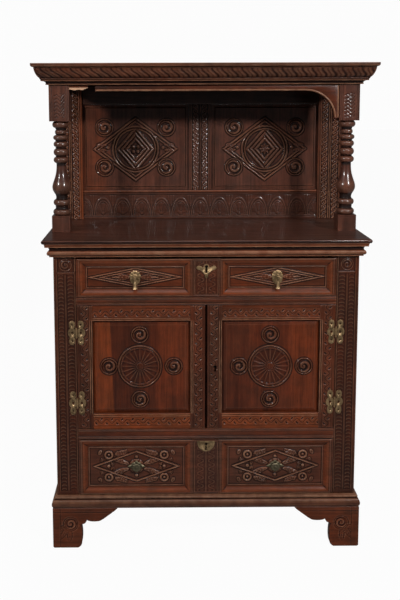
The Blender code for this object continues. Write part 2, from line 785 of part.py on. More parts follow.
def build_pull(side, z):
    """A petalled plate with two ears and a pin, and the drop that swings on the pin."""
    x = side * FIELD_MIDDLE
    axis_y = FIELD_FACE_Y - PULL_STAND_OFF
    name = "pull_plate_" + side_name(side)
    rim = [(x + u, z + v) for u, v in plate_outline(PLATE_RADIUS, PLATE_SCALLOP, PLATE_PETALS)]
    plate = brass_plate(name, rim, FIELD_FACE_Y)
    eye_half = EYE_LENGTH / 2 + PIVOT_GAP
    ear_y = (axis_y - PIN_RADIUS * 2, FIELD_FACE_Y - SEAT_GAP - PLATE_THICKNESS / 2)
    for ear in (-1, 1):
        ear_x = sorted((x + ear * eye_half, x + ear * (eye_half + EAR_THICKNESS)))
        join_box(plate, f"{name}_ear_{ear}", ear_x, ear_y, (z - PIN_RADIUS * 2, z + PIN_RADIUS * 2))
    pin_length = 2 * eye_half + EAR_THICKNESS
    pin = add_tool(name + "_pin", rod_mesh(name + "_pin", PIN_RADIUS, pin_length, DROP_SIDES))
    pin.rotation_euler = (0.0, math.pi / 2, 0.0)
    pin.location = (x, axis_y, z)
    shape_with(plate, pin, "UNION")

    name = "pull_drop_" + side_name(side)
    low = -DROP_LENGTH
    profile = [(0.0, 0.0), (DROP_STEM, 0.0), (DROP_STEM, -DROP_STEM_LENGTH)]
    profile += [(DROP_SHOULDER[0], -DROP_SHOULDER[1])]
    profile += [(DROP_RADIUS * share, low + rise) for share, rise in DROP_BULB]
    profile += [(0.0, low)]
    drop = add_part(name, turned_mesh(name, profile, DROP_SIDES), BRASS)
    drop.location = (x, axis_y, z)
    smooth(drop)
    eye = add_tool(name + "_eye", rod_mesh(name + "_eye", EYE_RADIUS, EYE_LENGTH, DROP_SIDES))
    bore = add_tool(name + "_bore", rod_mesh(name + "_bore", PIN_RADIUS + PIVOT_GAP, EYE_LENGTH * 2, DROP_SIDES))
    for tool, operation in ((eye, "UNION"), (bore, "DIFFERENCE")):
        tool.rotation_euler = (0.0, math.pi / 2, 0.0)
        tool.location = drop.location
        shape_with(drop, tool, operation)
    pivot(name + "_hinge", (x, axis_y, z), [drop])
    return plate


def build_knob(side, z):
    """A turned rosette knob seated in the sunk field."""
    name = "knob_" + side_name(side)
    profile = [(0.0, KNOB_LENGTH)]
    profile += [(KNOB_RADIUS * share, KNOB_LENGTH - drop) for share, drop in KNOB_HEAD]
    profile += [(KNOB_RADIUS * share, rise) for share, rise in KNOB_FOOT]
    profile += [(KNOB_RADIUS, 0.0), (0.0, 0.0)]
    knob = add_part(name, turned_mesh(name, profile, KNOB_SIDES), BRASS)
    knob.rotation_euler = (math.pi / 2, 0.0, 0.0)
    knob.location = (side * FIELD_MIDDLE, FIELD_FACE_Y - SEAT_GAP, z)
    smooth(knob)
    return knob


def winged_key_plate(top_z):
    """A key plate with two wings and a pointed drop."""
    low = top_z - WINGED_PLATE_HEIGHT
    body_x, body_drop = WINGED_PLATE_BODY_MIDDLE
    wing_width, wing_height = WINGED_PLATE_WING
    wing_x = WINGED_PLATE_WIDTH / 2 - wing_width
    rim = [(0.0, low)]
    rim += arc((body_x, top_z - body_drop), WINGED_PLATE_BODY, -90, -10, 4)
    rim += arc((wing_x, top_z - wing_height), WINGED_PLATE_WING, -70, 90, 5)
    rim += [(x, top_z - drop) for x, drop in WINGED_PLATE_CREST]
    return rim + [(-u, v) for u, v in reversed(rim[1:])]


def round_key_plate(top_z):
    """A half-round key plate with a straight top."""
    return arc((0.0, top_z), (ROUND_PLATE_WIDTH / 2, ROUND_PLATE_HEIGHT), 180, 360, 14)


def build_drawer(prefix, low, opening, fittings, key_plate, key_plate_drop):
    """One drawer: moulded front, dovetailed sides and back, bottom, fittings, key plate and lock."""
    half = DRAWER_HALF
    front_z = (low + RUN_GAP, low + opening - RUN_GAP)
    front = board(prefix + "_front", DARK_OAK, (-half, half), (DRAWER_FACE_Y, DRAWER_INSIDE_Y), front_z)
    field_z = (front_z[0] + FIELD_BORDER, front_z[1] - FIELD_BORDER)
    for side in (-1, 1):
        cut_box(
            front, f"{prefix}_field_{side_name(side)}", span(side, FIELD_INNER, FIELD_OUTER),
            (DRAWER_FACE_Y - FIELD_SUNK, FIELD_FACE_Y), field_z)

    tray_y = (DRAWER_INSIDE_Y + SEAT_GAP, BEFORE_BACK_Y - DRAWER_BACK_GAP)
    bottom_z = (low + SLIDE_GAP, low + SLIDE_GAP + DRAWER_BOTTOM)
    bottom = board(prefix + "_bottom", PLAIN_OAK, (-half, half), tray_y, bottom_z)
    inner = half - DRAWER_SIDE
    points = (
        (-half, tray_y[0]), (-inner, tray_y[0]), (-inner, tray_y[1] - DRAWER_SIDE),
        (inner, tray_y[1] - DRAWER_SIDE), (inner, tray_y[0]), (half, tray_y[0]),
        (half, tray_y[1]), (-half, tray_y[1]))
    sides_z = (bottom_z[1] + SEAT_GAP, low + opening - DRAWER_HEADROOM)
    name = prefix + "_sides"
    sides = add_part(name, outline_mesh(name, points, sides_z[1] - sides_z[0]), PLAIN_OAK)
    sides.location.z = sum(sides_z) / 2

    plate = brass_plate(prefix + "_key_plate", key_plate(front_z[1] - key_plate_drop), DRAWER_FACE_Y)
    lock = drawer_lock(prefix, low + opening)
    pieces = [front, bottom, sides, plate, lock] + fittings
    pivot(prefix + "_slide", (0.0, DRAWER_FACE_Y, sum(front_z) / 2), pieces)


def build_drawers():
    pull_z = UPPER_DRAWER_Z + UPPER_DRAWER_OPENING / 2 + PULL_RISE
    plates = [build_pull(side, pull_z) for side in (-1, 1)]
    build_drawer(
        "upper_drawer", UPPER_DRAWER_Z, UPPER_DRAWER_OPENING, plates, winged_key_plate, WINGED_PLATE_DROP)
    knob_z = PLINTH_TOP + LOWER_DRAWER_OPENING / 2
    knobs = [build_knob(side, knob_z) for side in (-1, 1)]
    build_drawer(
        "lower_drawer", PLINTH_TOP, LOWER_DRAWER_OPENING, knobs, round_key_plate, ROUND_PLATE_DROP)


# Doors and hinges

def leaf_outline(own_knuckles):
    """A lobed hinge leaf: (distance from the pin, height from the middle), with tabs to its own knuckles."""
    half = LEAF_HEIGHT / 2
    points = []
    for i in range(LEAF_STEPS + 1):
        height = -half + LEAF_HEIGHT * i / LEAF_STEPS
        lobe = abs(math.cos(1.5 * math.pi * height / half))
        points.append((LEAF_WIDTH * (LEAF_WAIST + (1 - LEAF_WAIST) * lobe), height))
    edge = KNUCKLE_RADIUS + PIVOT_GAP * 2
    points.append((edge, half))
    for middle in sorted(own_knuckles, reverse=True):
        high = middle + KNUCKLE_LENGTH / 2 - PIVOT_GAP
        low = middle - KNUCKLE_LENGTH / 2 + PIVOT_GAP
        points += [(edge, high), (0.0, high), (0.0, low), (edge, low)]
    points.append((edge, -half))
    return points


def build_leaf(name, direction, x, z, own_knuckles):
    """One leaf on the face, with its knuckles on the pin's axis."""
    points = [(x + direction * u, z + v) for u, v in leaf_outline(own_knuckles)]
    leaf = add_part(name, outline_mesh(name, points, LEAF_THICKNESS), BRASS)
    stand_facing_front(leaf, FRONT_Y - SEAT_GAP - LEAF_THICKNESS / 2)
    for i, middle in enumerate(own_knuckles):
        length = KNUCKLE_LENGTH - 2 * PIVOT_GAP
        tool = add_tool(f"{name}_knuckle_{i}", rod_mesh(name, KNUCKLE_RADIUS, length, KNUCKLE_SIDES))
        tool.location = (x, HINGE_Y, z + middle)
        shape_with(leaf, tool, "UNION")
    return leaf


def build_hinge(side, level, z):
    """A hinge with its pin fixed in the frame leaf and its middle knuckle on the door leaf."""
    x = side * HINGE_X
    tag = f"{side_name(side)}_{level}"
    frame_leaf = build_leaf(
        f"hinge_{tag}_frame_leaf", side, x, z, (-KNUCKLE_LENGTH, KNUCKLE_LENGTH))
    door_leaf = build_leaf(f"hinge_{tag}_door_leaf", -side, x, z, (0.0,))
    pin_length = 3 * KNUCKLE_LENGTH - 4 * PIVOT_GAP
    pin = add_tool(f"hinge_{tag}_pin", rod_mesh("pin", PIN_RADIUS, pin_length, KNUCKLE_SIDES))
    bore_radius = PIN_RADIUS + PIVOT_GAP
    bore = add_tool(f"hinge_{tag}_bore", rod_mesh("bore", bore_radius, pin_length, KNUCKLE_SIDES))
    for leaf, tool, operation in ((frame_leaf, pin, "UNION"), (door_leaf, bore, "DIFFERENCE")):
        tool.location = (x, HINGE_Y, z)
        shape_with(leaf, tool, operation)
    return door_leaf


def door_lock():
    """The lock on the right door's meeting stile. Its bolt slides behind the left door."""
    back_y = FRONT_Y + DOOR_THICKNESS + SEAT_GAP
    left = RUN_GAP / 2 + LOCK_EDGE_GAP
    middle_z = DOOR_Z + DOOR_OPENING / 2
    bolt_y = back_y + (LOCK_THICKNESS - BOLT_THICKNESS) / 2
    case_limits = (
        (left, left + LOCK_HEIGHT), (back_y, back_y + LOCK_THICKNESS),
        (middle_z - LOCK_WIDTH / 2, middle_z + LOCK_WIDTH / 2))
    bolt_limits = (
        (left, left + BOLT_LENGTH), (bolt_y, bolt_y + BOLT_THICKNESS),
        (middle_z - BOLT_WIDTH / 2, middle_z + BOLT_WIDTH / 2))
    return build_lock("right_door", case_limits, bolt_limits, (0, -1))


def build_door(side):
    """A framed door with a sunk panel, hung on two hinges at its outer edge."""
    name = side_name(side) + "_door"
    door_x = span(side, RUN_GAP / 2, OPENING_HALF - RUN_GAP)
    door_z = (DOOR_Z + RUN_GAP, DOOR_Z + DOOR_OPENING - RUN_GAP)
    frame = board(name + "_frame", DARK_OAK, door_x, (FRONT_Y, FRONT_Y + DOOR_THICKNESS), door_z)
    hole_x = (door_x[0] + DOOR_FRAME, door_x[1] - DOOR_FRAME)
    hole_z = (door_z[0] + DOOR_FRAME, door_z[1] - DOOR_FRAME)
    cut_box(
        frame, name + "_opening", hole_x,
        (FRONT_Y - DOOR_THICKNESS, FRONT_Y + 2 * DOOR_THICKNESS), hole_z)
    panel_y = FRONT_Y + DOOR_PANEL_SUNK
    panel = board(
        name + "_panel", RED_OAK, (hole_x[0] + SEAT_GAP, hole_x[1] - SEAT_GAP),
        (panel_y, panel_y + DOOR_PANEL_THICKNESS), (hole_z[0] + SEAT_GAP, hole_z[1] - SEAT_GAP))
    pieces = [frame, panel]
    for level, z in (("lower", DOOR_Z + HINGE_INSET), ("upper", DOOR_Z + DOOR_OPENING - HINGE_INSET)):
        pieces.append(build_hinge(side, level, z))
    if side > 0:
        pieces.append(door_lock())
    pivot(name + "_hinge", (side * HINGE_X, HINGE_Y, sum(door_z) / 2), pieces)


build_front_stiles()
build_sides()
build_back()
build_rails()
build_floors()
build_top_moulding()
build_plinth_moulding()
build_front_feet()
build_serving_top()
build_columns()
build_stage_back()
build_canopy()
build_apron()
build_drawers()
build_door(-1)
build_door(1)
bpy.context.view_layer.update()
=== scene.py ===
"""Carved oak court cupboard: an open canopied stage on two turned columns over drawers and doors."""
import math
from functools import reduce

import bmesh
import bpy
import numpy as np
from bpy.props import FloatProperty, FloatVectorProperty, PointerProperty
from mathutils import Matrix, Vector


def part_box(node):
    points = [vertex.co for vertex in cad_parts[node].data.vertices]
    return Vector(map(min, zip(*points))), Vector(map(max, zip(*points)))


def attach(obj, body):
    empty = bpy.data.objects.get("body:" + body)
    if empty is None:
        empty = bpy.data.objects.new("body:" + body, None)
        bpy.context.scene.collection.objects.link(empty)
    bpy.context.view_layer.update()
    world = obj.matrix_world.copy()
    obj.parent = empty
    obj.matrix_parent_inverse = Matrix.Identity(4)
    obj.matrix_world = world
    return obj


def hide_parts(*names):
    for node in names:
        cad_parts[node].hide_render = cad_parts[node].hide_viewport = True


bl_info = {
    "name": "Carved oak court cupboard",
    "version": (1, 0, 0),
    "blender": (4, 5, 0),
    "location": "3D View > Sidebar > Cupboard",
    "description": "Builds the carved boards, turnings and brass of a court cupboard on its CAD frame",
    "category": "Object",
}

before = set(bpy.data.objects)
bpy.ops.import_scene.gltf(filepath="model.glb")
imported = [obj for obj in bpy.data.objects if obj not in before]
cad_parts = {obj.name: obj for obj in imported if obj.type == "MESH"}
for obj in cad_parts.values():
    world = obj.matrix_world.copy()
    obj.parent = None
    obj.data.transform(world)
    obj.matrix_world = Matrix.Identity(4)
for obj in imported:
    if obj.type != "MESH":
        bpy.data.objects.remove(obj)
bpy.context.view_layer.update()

X_GRAIN = 0
Y_GRAIN = 1
Z_GRAIN = 2
SIDES = (("left", -1), ("right", 1))


# Settings that a user may change

def colour_setting(name, description, default):
    """A colour."""
    return FloatVectorProperty(name=name, description=description, subtype="COLOR", default=default)


def length_setting(name, description, default):
    """A length in metres."""
    return FloatProperty(name=name, description=description, default=default, subtype="DISTANCE",
                         unit="LENGTH")


def power_setting(name, description, default):
    """The power of a lamp in watts."""
    return FloatProperty(name=name, description=description, unit="POWER", default=default)


def share_setting(name, description, default):
    """A share from 0 to 1."""
    return FloatProperty(name=name, description=description, default=default, subtype="FACTOR",
                         min=0.0, max=1.0)


class OakFinish(bpy.types.PropertyGroup):
    """Colours and polish of the oak."""

    # Also the colour of painted shade where tone is negative
    deep: colour_setting("Deep figure", "Darkest streaks of the carved oak", (0.0200, 0.0060, 0.0034))
    ground: colour_setting("Ground", "Main colour of the carved oak", (0.0470, 0.0145, 0.0076))
    light: colour_setting("Light figure", "Palest streaks of the carved oak", (0.0790, 0.0280, 0.0150))
    red: colour_setting("Red patches", "Red-brown blotches under the polish", (0.0940, 0.0190, 0.0064))
    panel: colour_setting("Panel ground", "Main colour of the door and back panels", (0.0740, 0.0155, 0.0056))
    stage: colour_setting("Stage ground", "Greyer, duller oak of the open stage", (0.0600, 0.0240, 0.0165))
    drawer: colour_setting("Drawer ground", "Dusty brown of the lower drawer", (0.0560, 0.0205, 0.0125))
    # Also the colour of painted light on a few lit strips and edges
    glow: colour_setting("Bright boards", "Red-orange boards under thin polish", (0.1380, 0.0300, 0.0082))
    # Colour of the cuts: old polish and dust, and also painted shade in every hollow of the carving
    groove: colour_setting("Grooves", "Old polish and dust in the cuts", (0.0056, 0.0020, 0.0014))
    # Colour of rubbed ridges and arrises, and of the painted highlight on every ridge
    wear_and_highlight: colour_setting("Worn edges", "Ridges and arrises rubbed pale", (0.2300, 0.1150, 0.0660))
    inside: colour_setting("Inside oak", "Unpolished boards inside and behind", (0.1050, 0.0580, 0.0310))
    raw: colour_setting("Broken oak", "Fresh wood where the bracket broke off", (0.4000, 0.2350, 0.1500))
    roughness: share_setting("Roughness", "Roughness of the polish", 0.32)


class MetalFinish(bpy.types.PropertyGroup):
    """Colours of the brass, bronze and iron."""

    brass: colour_setting("Brass", "Rubbed brass", (0.340, 0.2250, 0.1150))
    tarnish: colour_setting("Tarnish", "Brown tarnish on the brass", (0.070, 0.0430, 0.0190))
    bronze: colour_setting("Bronze", "Dark bronze of the knobs", (0.120, 0.1000, 0.0600))
    iron: colour_setting("Iron", "Dark iron of the locks", (0.090, 0.0840, 0.0780))


class CarvingSizes(bpy.types.PropertyGroup):
    """Sizes of the carved ornament."""

    step: length_setting("Carving step", "Spacing of the carved surface's points", 0.0017)
    ground_depth: length_setting("Ground depth", "How deep the carved ground is cut", 0.0028)
    ladder_pitch: length_setting("Stile scale pitch", "Height of a scale on the front stiles", 0.0128)
    door_pitch: length_setting("Door scroll pitch", "Length of one bend of the scroll on the doors", 0.0175)
    stage_pitch: length_setting("Stage plait pitch", "Length of one eye on the stage stiles", 0.0183)
    lunette_pitch: length_setting("Lunette pitch", "Repeat of the half-rounds on the stage rail", 0.074)
    cornice_pitch: length_setting("Cornice pitch", "Repeat of the leaf lobes on the cornice", 0.031)
    sunburst_radius: length_setting("Sunburst radius", "Radius of the door roundels", 0.074)
    boss_radius: length_setting("Boss radius", "Radius of the spiral bosses round a roundel", 0.029)


class StudioSettings(bpy.types.PropertyGroup):
    """The floor and the lamps."""

    floor: colour_setting("Floor", "Colour of the floor", (0.36, 0.36, 0.36))
    left_power: power_setting("Left lamp", "Power of the soft box at the left", 30.0)
    right_power: power_setting("Right lamp", "Power of the soft box at the right", 35.0)
    top_power: power_setting("Top lamp", "Power of the wide soft box over the camera", 78.0)
    back_power: power_setting("Back lamp", "Power of the soft box behind", 26.0)
    fill: share_setting("Fill", "Light from all round", 0.005)
    mirrored: share_setting("Mirrored white", "Share of the white studio that polish and brass mirror", 0.15)


# Node helpers

def add_node(tree, kind, inputs=None, **settings):
    """Adds a node, with a value or a link for each named or numbered input."""
    made = tree.nodes.new(kind)
    for key, value in settings.items():
        setattr(made, key, value)
    for key, value in (inputs or {}).items():
        if isinstance(value, bpy.types.NodeSocket):
            tree.links.new(value, made.inputs[key])
        else:
            made.inputs[key].default_value = value
    return made


def opaque(colour):
    """A colour property as four channels."""
    return (colour[0], colour[1], colour[2], 1.0)


def mixed(tree, share, first, second, blend="MIX"):
    """Colour socket that goes from the first colour to the second as share goes from 0 to 1."""
    sockets = {0: share, 6: first, 7: second}
    return add_node(tree, "ShaderNodeMix", sockets, data_type="RGBA", blend_type=blend).outputs[2]


def ranged(tree, value, start, end, low, high):
    """Value socket mapped from start..end to low..high and held there."""
    return add_node(tree, "ShaderNodeMapRange", {0: value, 1: start, 2: end, 3: low, 4: high}).outputs[0]


def summed(tree, first, second, operation="ADD"):
    """Sum of two value sockets, or another operation on them."""
    return add_node(tree, "ShaderNodeMath", {0: first, 1: second}, operation=operation).outputs[0]


def named_value(tree, name):
    """A value that is stored on the mesh's points."""
    return add_node(tree, "ShaderNodeAttribute", attribute_name=name).outputs["Fac"]


def cloud(tree, place, scale, board, detail=4.0, roughness=0.55, distortion=0.0):
    """Noise stretched by a scale for each axis, different on each board."""
    stretched = add_node(tree, "ShaderNodeMapping", {"Vector": place, "Scale": scale}).outputs[0]
    sockets = {"Vector": stretched, "W": board, "Scale": 1.0, "Detail": detail, "Roughness": roughness,
               "Distortion": distortion}
    return add_node(tree, "ShaderNodeTexNoise", sockets, noise_dimensions="4D").outputs[0]


def scaled(tree, value, factor):
    """Product of two values or sockets."""
    return summed(tree, value, factor, "MULTIPLY")


def new_surface(holder):
    """The node tree of a new material and its shader."""
    holder.use_nodes = True
    return holder.node_tree, holder.node_tree.nodes["Principled BSDF"]


def link_surface(tree, surface, colour, rough, height, strength, distance):
    """Links colour, roughness and bump to a shader."""
    bump = add_node(tree, "ShaderNodeBump", {"Height": height, "Strength": strength, "Distance": distance})
    tree.links.new(colour, surface.inputs["Base Color"])
    tree.links.new(rough, surface.inputs["Roughness"])
    tree.links.new(bump.outputs[0], surface.inputs["Normal"])


def along_grain(axis, along, across):
    """Noise scale for grain that runs along an axis."""
    scale = [across, across, across]
    scale[axis] = along
    return tuple(scale)


# Finishes

# Weight and roughness of the polish on each polished finish
COATS = {"carved": (0.13, 0.24), "drawer": (0.13, 0.24), "panel": (0.18, 0.20), "stage": (0.34, 0.17),
         "turned": (0.50, 0.16)}
# How pale the ridges of a finish are painted, as wear and as painted highlight
RIDGE_WEAR_AND_HIGHLIGHT = {"panel": 0.38, "stage": 0.34}


def oak(finish, axis):
    """Oak of one finish with its grain along an axis.

    The finish is carved, drawer, panel, stage, turned, inside or raw.
    """
    name = f"{finish}_oak_grain_{'xyz'[axis]}"
    if name in bpy.data.materials:
        return bpy.data.materials[name]
    colours = bpy.context.scene.cupboard_oak
    ground = getattr(colours, {"carved": "ground", "turned": "stage"}.get(finish, finish))
    polished = finish in COATS
    material = bpy.data.materials.new(name)
    tree, surface = new_surface(material)
    place = add_node(tree, "ShaderNodeTexCoord").outputs["Object"]
    carve = named_value(tree, "carve")
    board = scaled(tree, named_value(tree, "board"), 9.0)
    figure = cloud(tree, place, along_grain(axis, 1.7, 15.0), board, 5.0, 0.60, 1.1)
    streak = cloud(tree, place, along_grain(axis, 7.0, 150.0), board, 3.0, 0.60)
    pore = ranged(tree, cloud(tree, place, along_grain(axis, 55.0, 1200.0), board, 1.0), 0.60, 0.72, 0.0, 1.0)
    patch = ranged(tree, cloud(tree, place, along_grain(axis, 2.6, 6.0), board, 2.0), 0.42, 0.66, 0.0, 1.0)
    rubbed = ranged(tree, cloud(tree, place, (38.0, 38.0, 38.0), board, 3.0), 0.35, 0.65, 0.38, 1.0)
    if finish in ("carved", "panel"):
        deep = colours.deep
        light = colours.light
        if finish == "panel":
            light = [0.45 * pale + 0.55 * value for pale, value in zip(light, ground)]
    else:
        deep = [0.60 * value for value in ground]
        light = [min(1.0, 1.35 * value) for value in ground]
    ramp = add_node(tree, "ShaderNodeValToRGB", {"Fac": figure})
    stops = ramp.color_ramp.elements
    stops[0].position = 0.30
    stops[0].color = opaque(deep)
    stops[1].position = 0.74
    stops[1].color = opaque(light)
    stops.new(0.50).color = opaque(ground)
    colour = ramp.outputs[0]
    if polished:
        blotch = 0.62 if finish in ("carved", "panel") else 0.25
        colour = mixed(tree, scaled(tree, patch, blotch), colour, opaque(colours.red))
        # tone shifts a board towards the bright or the deep colour: the boards' own shades, and on some
        # pieces painted light or painted shade
        tone = named_value(tree, "tone")
        colour = mixed(tree, ranged(tree, tone, 0.0, 1.0, 0.0, 1.0), colour, opaque(colours.glow))
        colour = mixed(tree, ranged(tree, tone, 0.0, -1.0, 0.0, 1.0), colour, opaque(colours.deep))
    shade = ranged(tree, streak, 0.30, 0.70, 0.58, 1.32)
    grey = add_node(tree, "ShaderNodeCombineColor", {0: shade, 1: shade, 2: shade}).outputs[0]
    colour = mixed(tree, 0.80, colour, grey, "MULTIPLY")
    mottle = ranged(tree, cloud(tree, place, (24.0, 24.0, 24.0), board, 3.0, 0.6), 0.32, 0.68, 0.0, 1.0)
    tint = mixed(tree, mottle, (0.72, 0.80, 0.84, 1.0), (1.28, 1.14, 1.02, 1.0))
    colour = mixed(tree, 0.85 if polished else 0.4, colour, tint, "MULTIPLY")
    dark = colours.groove if polished else deep
    colour = mixed(tree, scaled(tree, pore, 0.55), colour, opaque(dark))
    # carve follows the relief: hollows are darkened towards the groove colour, as dust and as painted shade
    cut = ranged(tree, carve, -0.04, -0.66, 0.0, 0.93)
    if polished:
        # Ridges are made pale with the wear colour, as wear and as painted highlight
        crest = scaled(tree, ranged(tree, carve, 0.10, 0.95, 0.0, RIDGE_WEAR_AND_HIGHLIGHT.get(finish, 0.75)), rubbed)
        colour = mixed(tree, cut, colour, opaque(colours.groove))
        colour = mixed(tree, crest, colour, opaque(colours.wear_and_highlight))
    base = colours.roughness if polished else 0.72
    rough = ranged(tree, streak, 0.25, 0.75, base + 0.09, base - 0.07)
    rough = summed(tree, rough, scaled(tree, cut, 0.25))
    height = summed(tree, scaled(tree, streak, 0.55), scaled(tree, pore, 0.60), "SUBTRACT")
    height = summed(tree, height, scaled(tree, figure, 0.35))
    link_surface(tree, surface, colour, rough, height, 0.45, 0.0006)
    surface.inputs["Specular IOR Level"].default_value = 0.09 if polished else 0.05
    if polished:
        coat, blur = COATS[finish]
        surface.inputs["Coat Weight"].default_value = coat
        surface.inputs["Coat Roughness"].default_value = blur
    return material


def metal(finish):
    """Tarnished brass, dark bronze or iron."""
    name = f"old_{finish}"
    if name in bpy.data.materials:
        return bpy.data.materials[name]
    colours = bpy.context.scene.cupboard_metal
    bright = getattr(colours, finish)
    dull = colours.tarnish if finish == "brass" else [0.5 * value for value in bright]
    material = bpy.data.materials.new(name)
    tree, surface = new_surface(material)
    place = add_node(tree, "ShaderNodeTexCoord").outputs["Object"]
    board = named_value(tree, "board")
    carve = named_value(tree, "carve")
    patch = cloud(tree, place, (60.0, 60.0, 60.0), board, 4.0, 0.60, 0.6)
    pit = cloud(tree, place, (420.0, 420.0, 420.0), board, 2.0)
    hidden = ranged(tree, carve, 0.6, -0.6, -0.30, 0.45)
    share = summed(tree, ranged(tree, patch, 0.38, 0.66, 0.05, 0.80), hidden)
    colour = mixed(tree, ranged(tree, share, 0.0, 1.0, 0.0, 1.0), opaque(bright), opaque(dull))
    rough = ranged(tree, patch, 0.30, 0.70, 0.34, 0.58)
    height = summed(tree, scaled(tree, pit, 0.6), patch)
    link_surface(tree, surface, colour, rough, height, 0.35, 0.0005)
    surface.inputs["Metallic"].default_value = 0.85
    return material


# Mesh helpers

def store(mesh, name, values):
    """Stores a value for each point of a mesh, or the same value for all of them."""
    layer = mesh.attributes.new(name, "FLOAT", "POINT")
    layer.data.foreach_set("value", np.array(np.broadcast_to(values, len(mesh.vertices)), dtype=np.float32))


def number_of(name):
    """A number from 0 to 1 that stays the same for a name."""
    return sum(ord(letter) * (place + 3) for place, letter in enumerate(name)) % 97 / 97.0


def new_mesh(name, points, faces, carve=0.0, angle=38.0):
    """A smooth mesh with sharp edges over an angle, its carving and its board number."""
    mesh = bpy.data.meshes.new(name)
    mesh.from_pydata(np.asarray(points, dtype=float).tolist(), [], faces)
    mesh.shade_smooth()
    mesh.set_sharp_from_angle(angle=math.radians(angle))
    store(mesh, "carve", carve)
    store(mesh, "board", number_of(name))
    return mesh


def place_piece(mesh, material, node, body):
    """Puts a mesh in the scene as a piece that rides on a body and stands for a CAD node, if it has one."""
    made = bpy.data.objects.new(mesh.name, mesh)
    bpy.context.scene.collection.objects.link(made)
    mesh.materials.clear()
    mesh.materials.append(material)
    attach(made, body)
    if node:
        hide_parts(node)


def place_oak(mesh, finish, axis, node=None, body="case"):
    """Places a piece of oak."""
    place_piece(mesh, oak(finish, axis), node, body)


def place_metal(mesh, finish, node, body):
    """Places a fitting of brass or bronze."""
    place_piece(mesh, metal(finish), node, body)


def lines(low, high, step, marks=()):
    """Grid lines from low to high, no more than a step apart, with a line on each mark."""
    stops = sorted({low, high, *(mark for mark in marks if low < mark < high)})
    found = [np.array([low])]
    for start, end in zip(stops, stops[1:]):
        count = max(1, math.ceil((end - start) / step - 1e-6))
        found.append(np.linspace(start, end, count + 1)[1:])
    return np.concatenate(found)


def hollows(height, reach=2):
    """How far each point of a grid stands over the mean of its surroundings, from -1 to 1."""
    padded = np.pad(height, reach, mode="edge")
    total = np.pad(padded, ((1, 0), (1, 0))).cumsum(0).cumsum(1)
    size = 2 * reach + 1
    sums = total[size:, size:] - total[:-size, size:] - total[size:, :-size] + total[:-size, :-size]
    return np.clip((height - sums / size ** 2) / 0.0011, -1.0, 1.0)


def border_of(index):
    """The points round a grid, in order."""
    return np.concatenate([index[0, :-1], index[:-1, -1], index[-1, :0:-1], index[:0:-1, 0]])


def grid_faces(index):
    """Faces between the neighbouring points of a grid."""
    return np.stack([index[:-1, :-1], index[:-1, 1:], index[1:, 1:], index[1:, :-1]], -1).reshape(-1, 4)


def tube_faces(rings, count):
    """Faces of a tube made of rings of points, with a cap at each end."""
    index = np.arange(rings * count).reshape(rings, count)
    following = np.roll(index, -1, 1)
    quads = np.stack([index[:-1], following[:-1], following[1:], index[1:]], -1).reshape(-1, 4)
    return quads.tolist() + [index[0, ::-1].tolist(), index[-1].tolist()]


def closed_grid(name, front, back_y, carve):
    """A solid with a carved front that faces -Y and a flat back."""
    rows, columns = front.shape[:2]
    index = np.arange(rows * columns).reshape(rows, columns)
    border = border_of(index)
    points = front.reshape(-1, 3)
    back = points[border].copy()
    back[:, 1] = back_y
    around = rows * columns + np.arange(len(border))
    skirt = np.stack([border, around, np.roll(around, -1), np.roll(border, -1)], -1)
    faces = grid_faces(index).tolist() + skirt.tolist() + [around[::-1].tolist()]
    edge = np.concatenate([carve.ravel(), np.zeros(len(border))])
    return new_mesh(name, np.concatenate([points, back]), faces, edge)


def carved_board(name, low, high, relief, marks_x=(), marks_z=(), step=None, tone=None, pits=None):
    """A board between two corners whose front face stands out by relief(x, z).

    tone is a shade or a function of (x, z) that gives one. pits(x, z) gives the depth of further cuts
    whose edges aren't made pale and which are painted wholly dark, as painted shade.
    """
    step = step or bpy.context.scene.cupboard_carving.step
    x, z = np.meshgrid(lines(low[0], high[0], step, marks_x), lines(low[2], high[2], step, marks_z))
    height = relief(x, z)
    carve = hollows(height)
    if pits is not None:
        depth = pits(x, z)
        height = height - depth
        # Pits are painted fully dark, as painted shade
        carve = np.where(depth > 0, -1.0, carve)
    front = np.stack([x, low[1] - height, z], -1)
    mesh = closed_grid(name, front, high[1], carve)
    if tone is not None:
        places = np.array([vertex.co[:] for vertex in mesh.vertices])
        store(mesh, "tone", tone(places[:, 0], places[:, 2]) if callable(tone) else tone)
    return mesh


def drained(shape):
    """The points and faces of a bmesh, which is freed."""
    shape.verts.ensure_lookup_table()
    points = np.array([vertex.co[:] for vertex in shape.verts])
    faces = [[vertex.index for vertex in face.verts] for face in shape.faces]
    shape.free()
    return points, faces


def plain_board(name, low, high, round_over=0.0012, segments=2, wear_and_highlight=0.0):
    """A sawn board between two corners with rounded edges that are painted pale, as wear and as painted
    highlight.
    """
    low = Vector(low)
    high = Vector(high)
    shape = bmesh.new()
    size = high - low
    place = Matrix.Translation((low + high) / 2) @ Matrix.Diagonal((*size, 1))
    bmesh.ops.create_cube(shape, size=1.0, matrix=place)
    edges = list(shape.edges)
    inset = min(0.006, 0.3 * min(size))
    bmesh.ops.inset_individual(shape, faces=list(shape.faces), thickness=inset, use_even_offset=True)
    bmesh.ops.bevel(shape, geom=edges, offset=round_over, segments=segments, profile=0.5, affect="EDGES")
    points, faces = drained(shape)
    rim = min(1.05 * round_over, 0.6 * inset)
    near = (np.abs(points - np.array(low)) < rim) | (np.abs(points - np.array(high)) < rim)
    # Arrises are painted pale, as wear and as painted highlight; the faces take the given carve value, which
    # darkens them where negative
    return new_mesh(name, points, faces, np.where(near.sum(1) > 1, 0.55, wear_and_highlight))


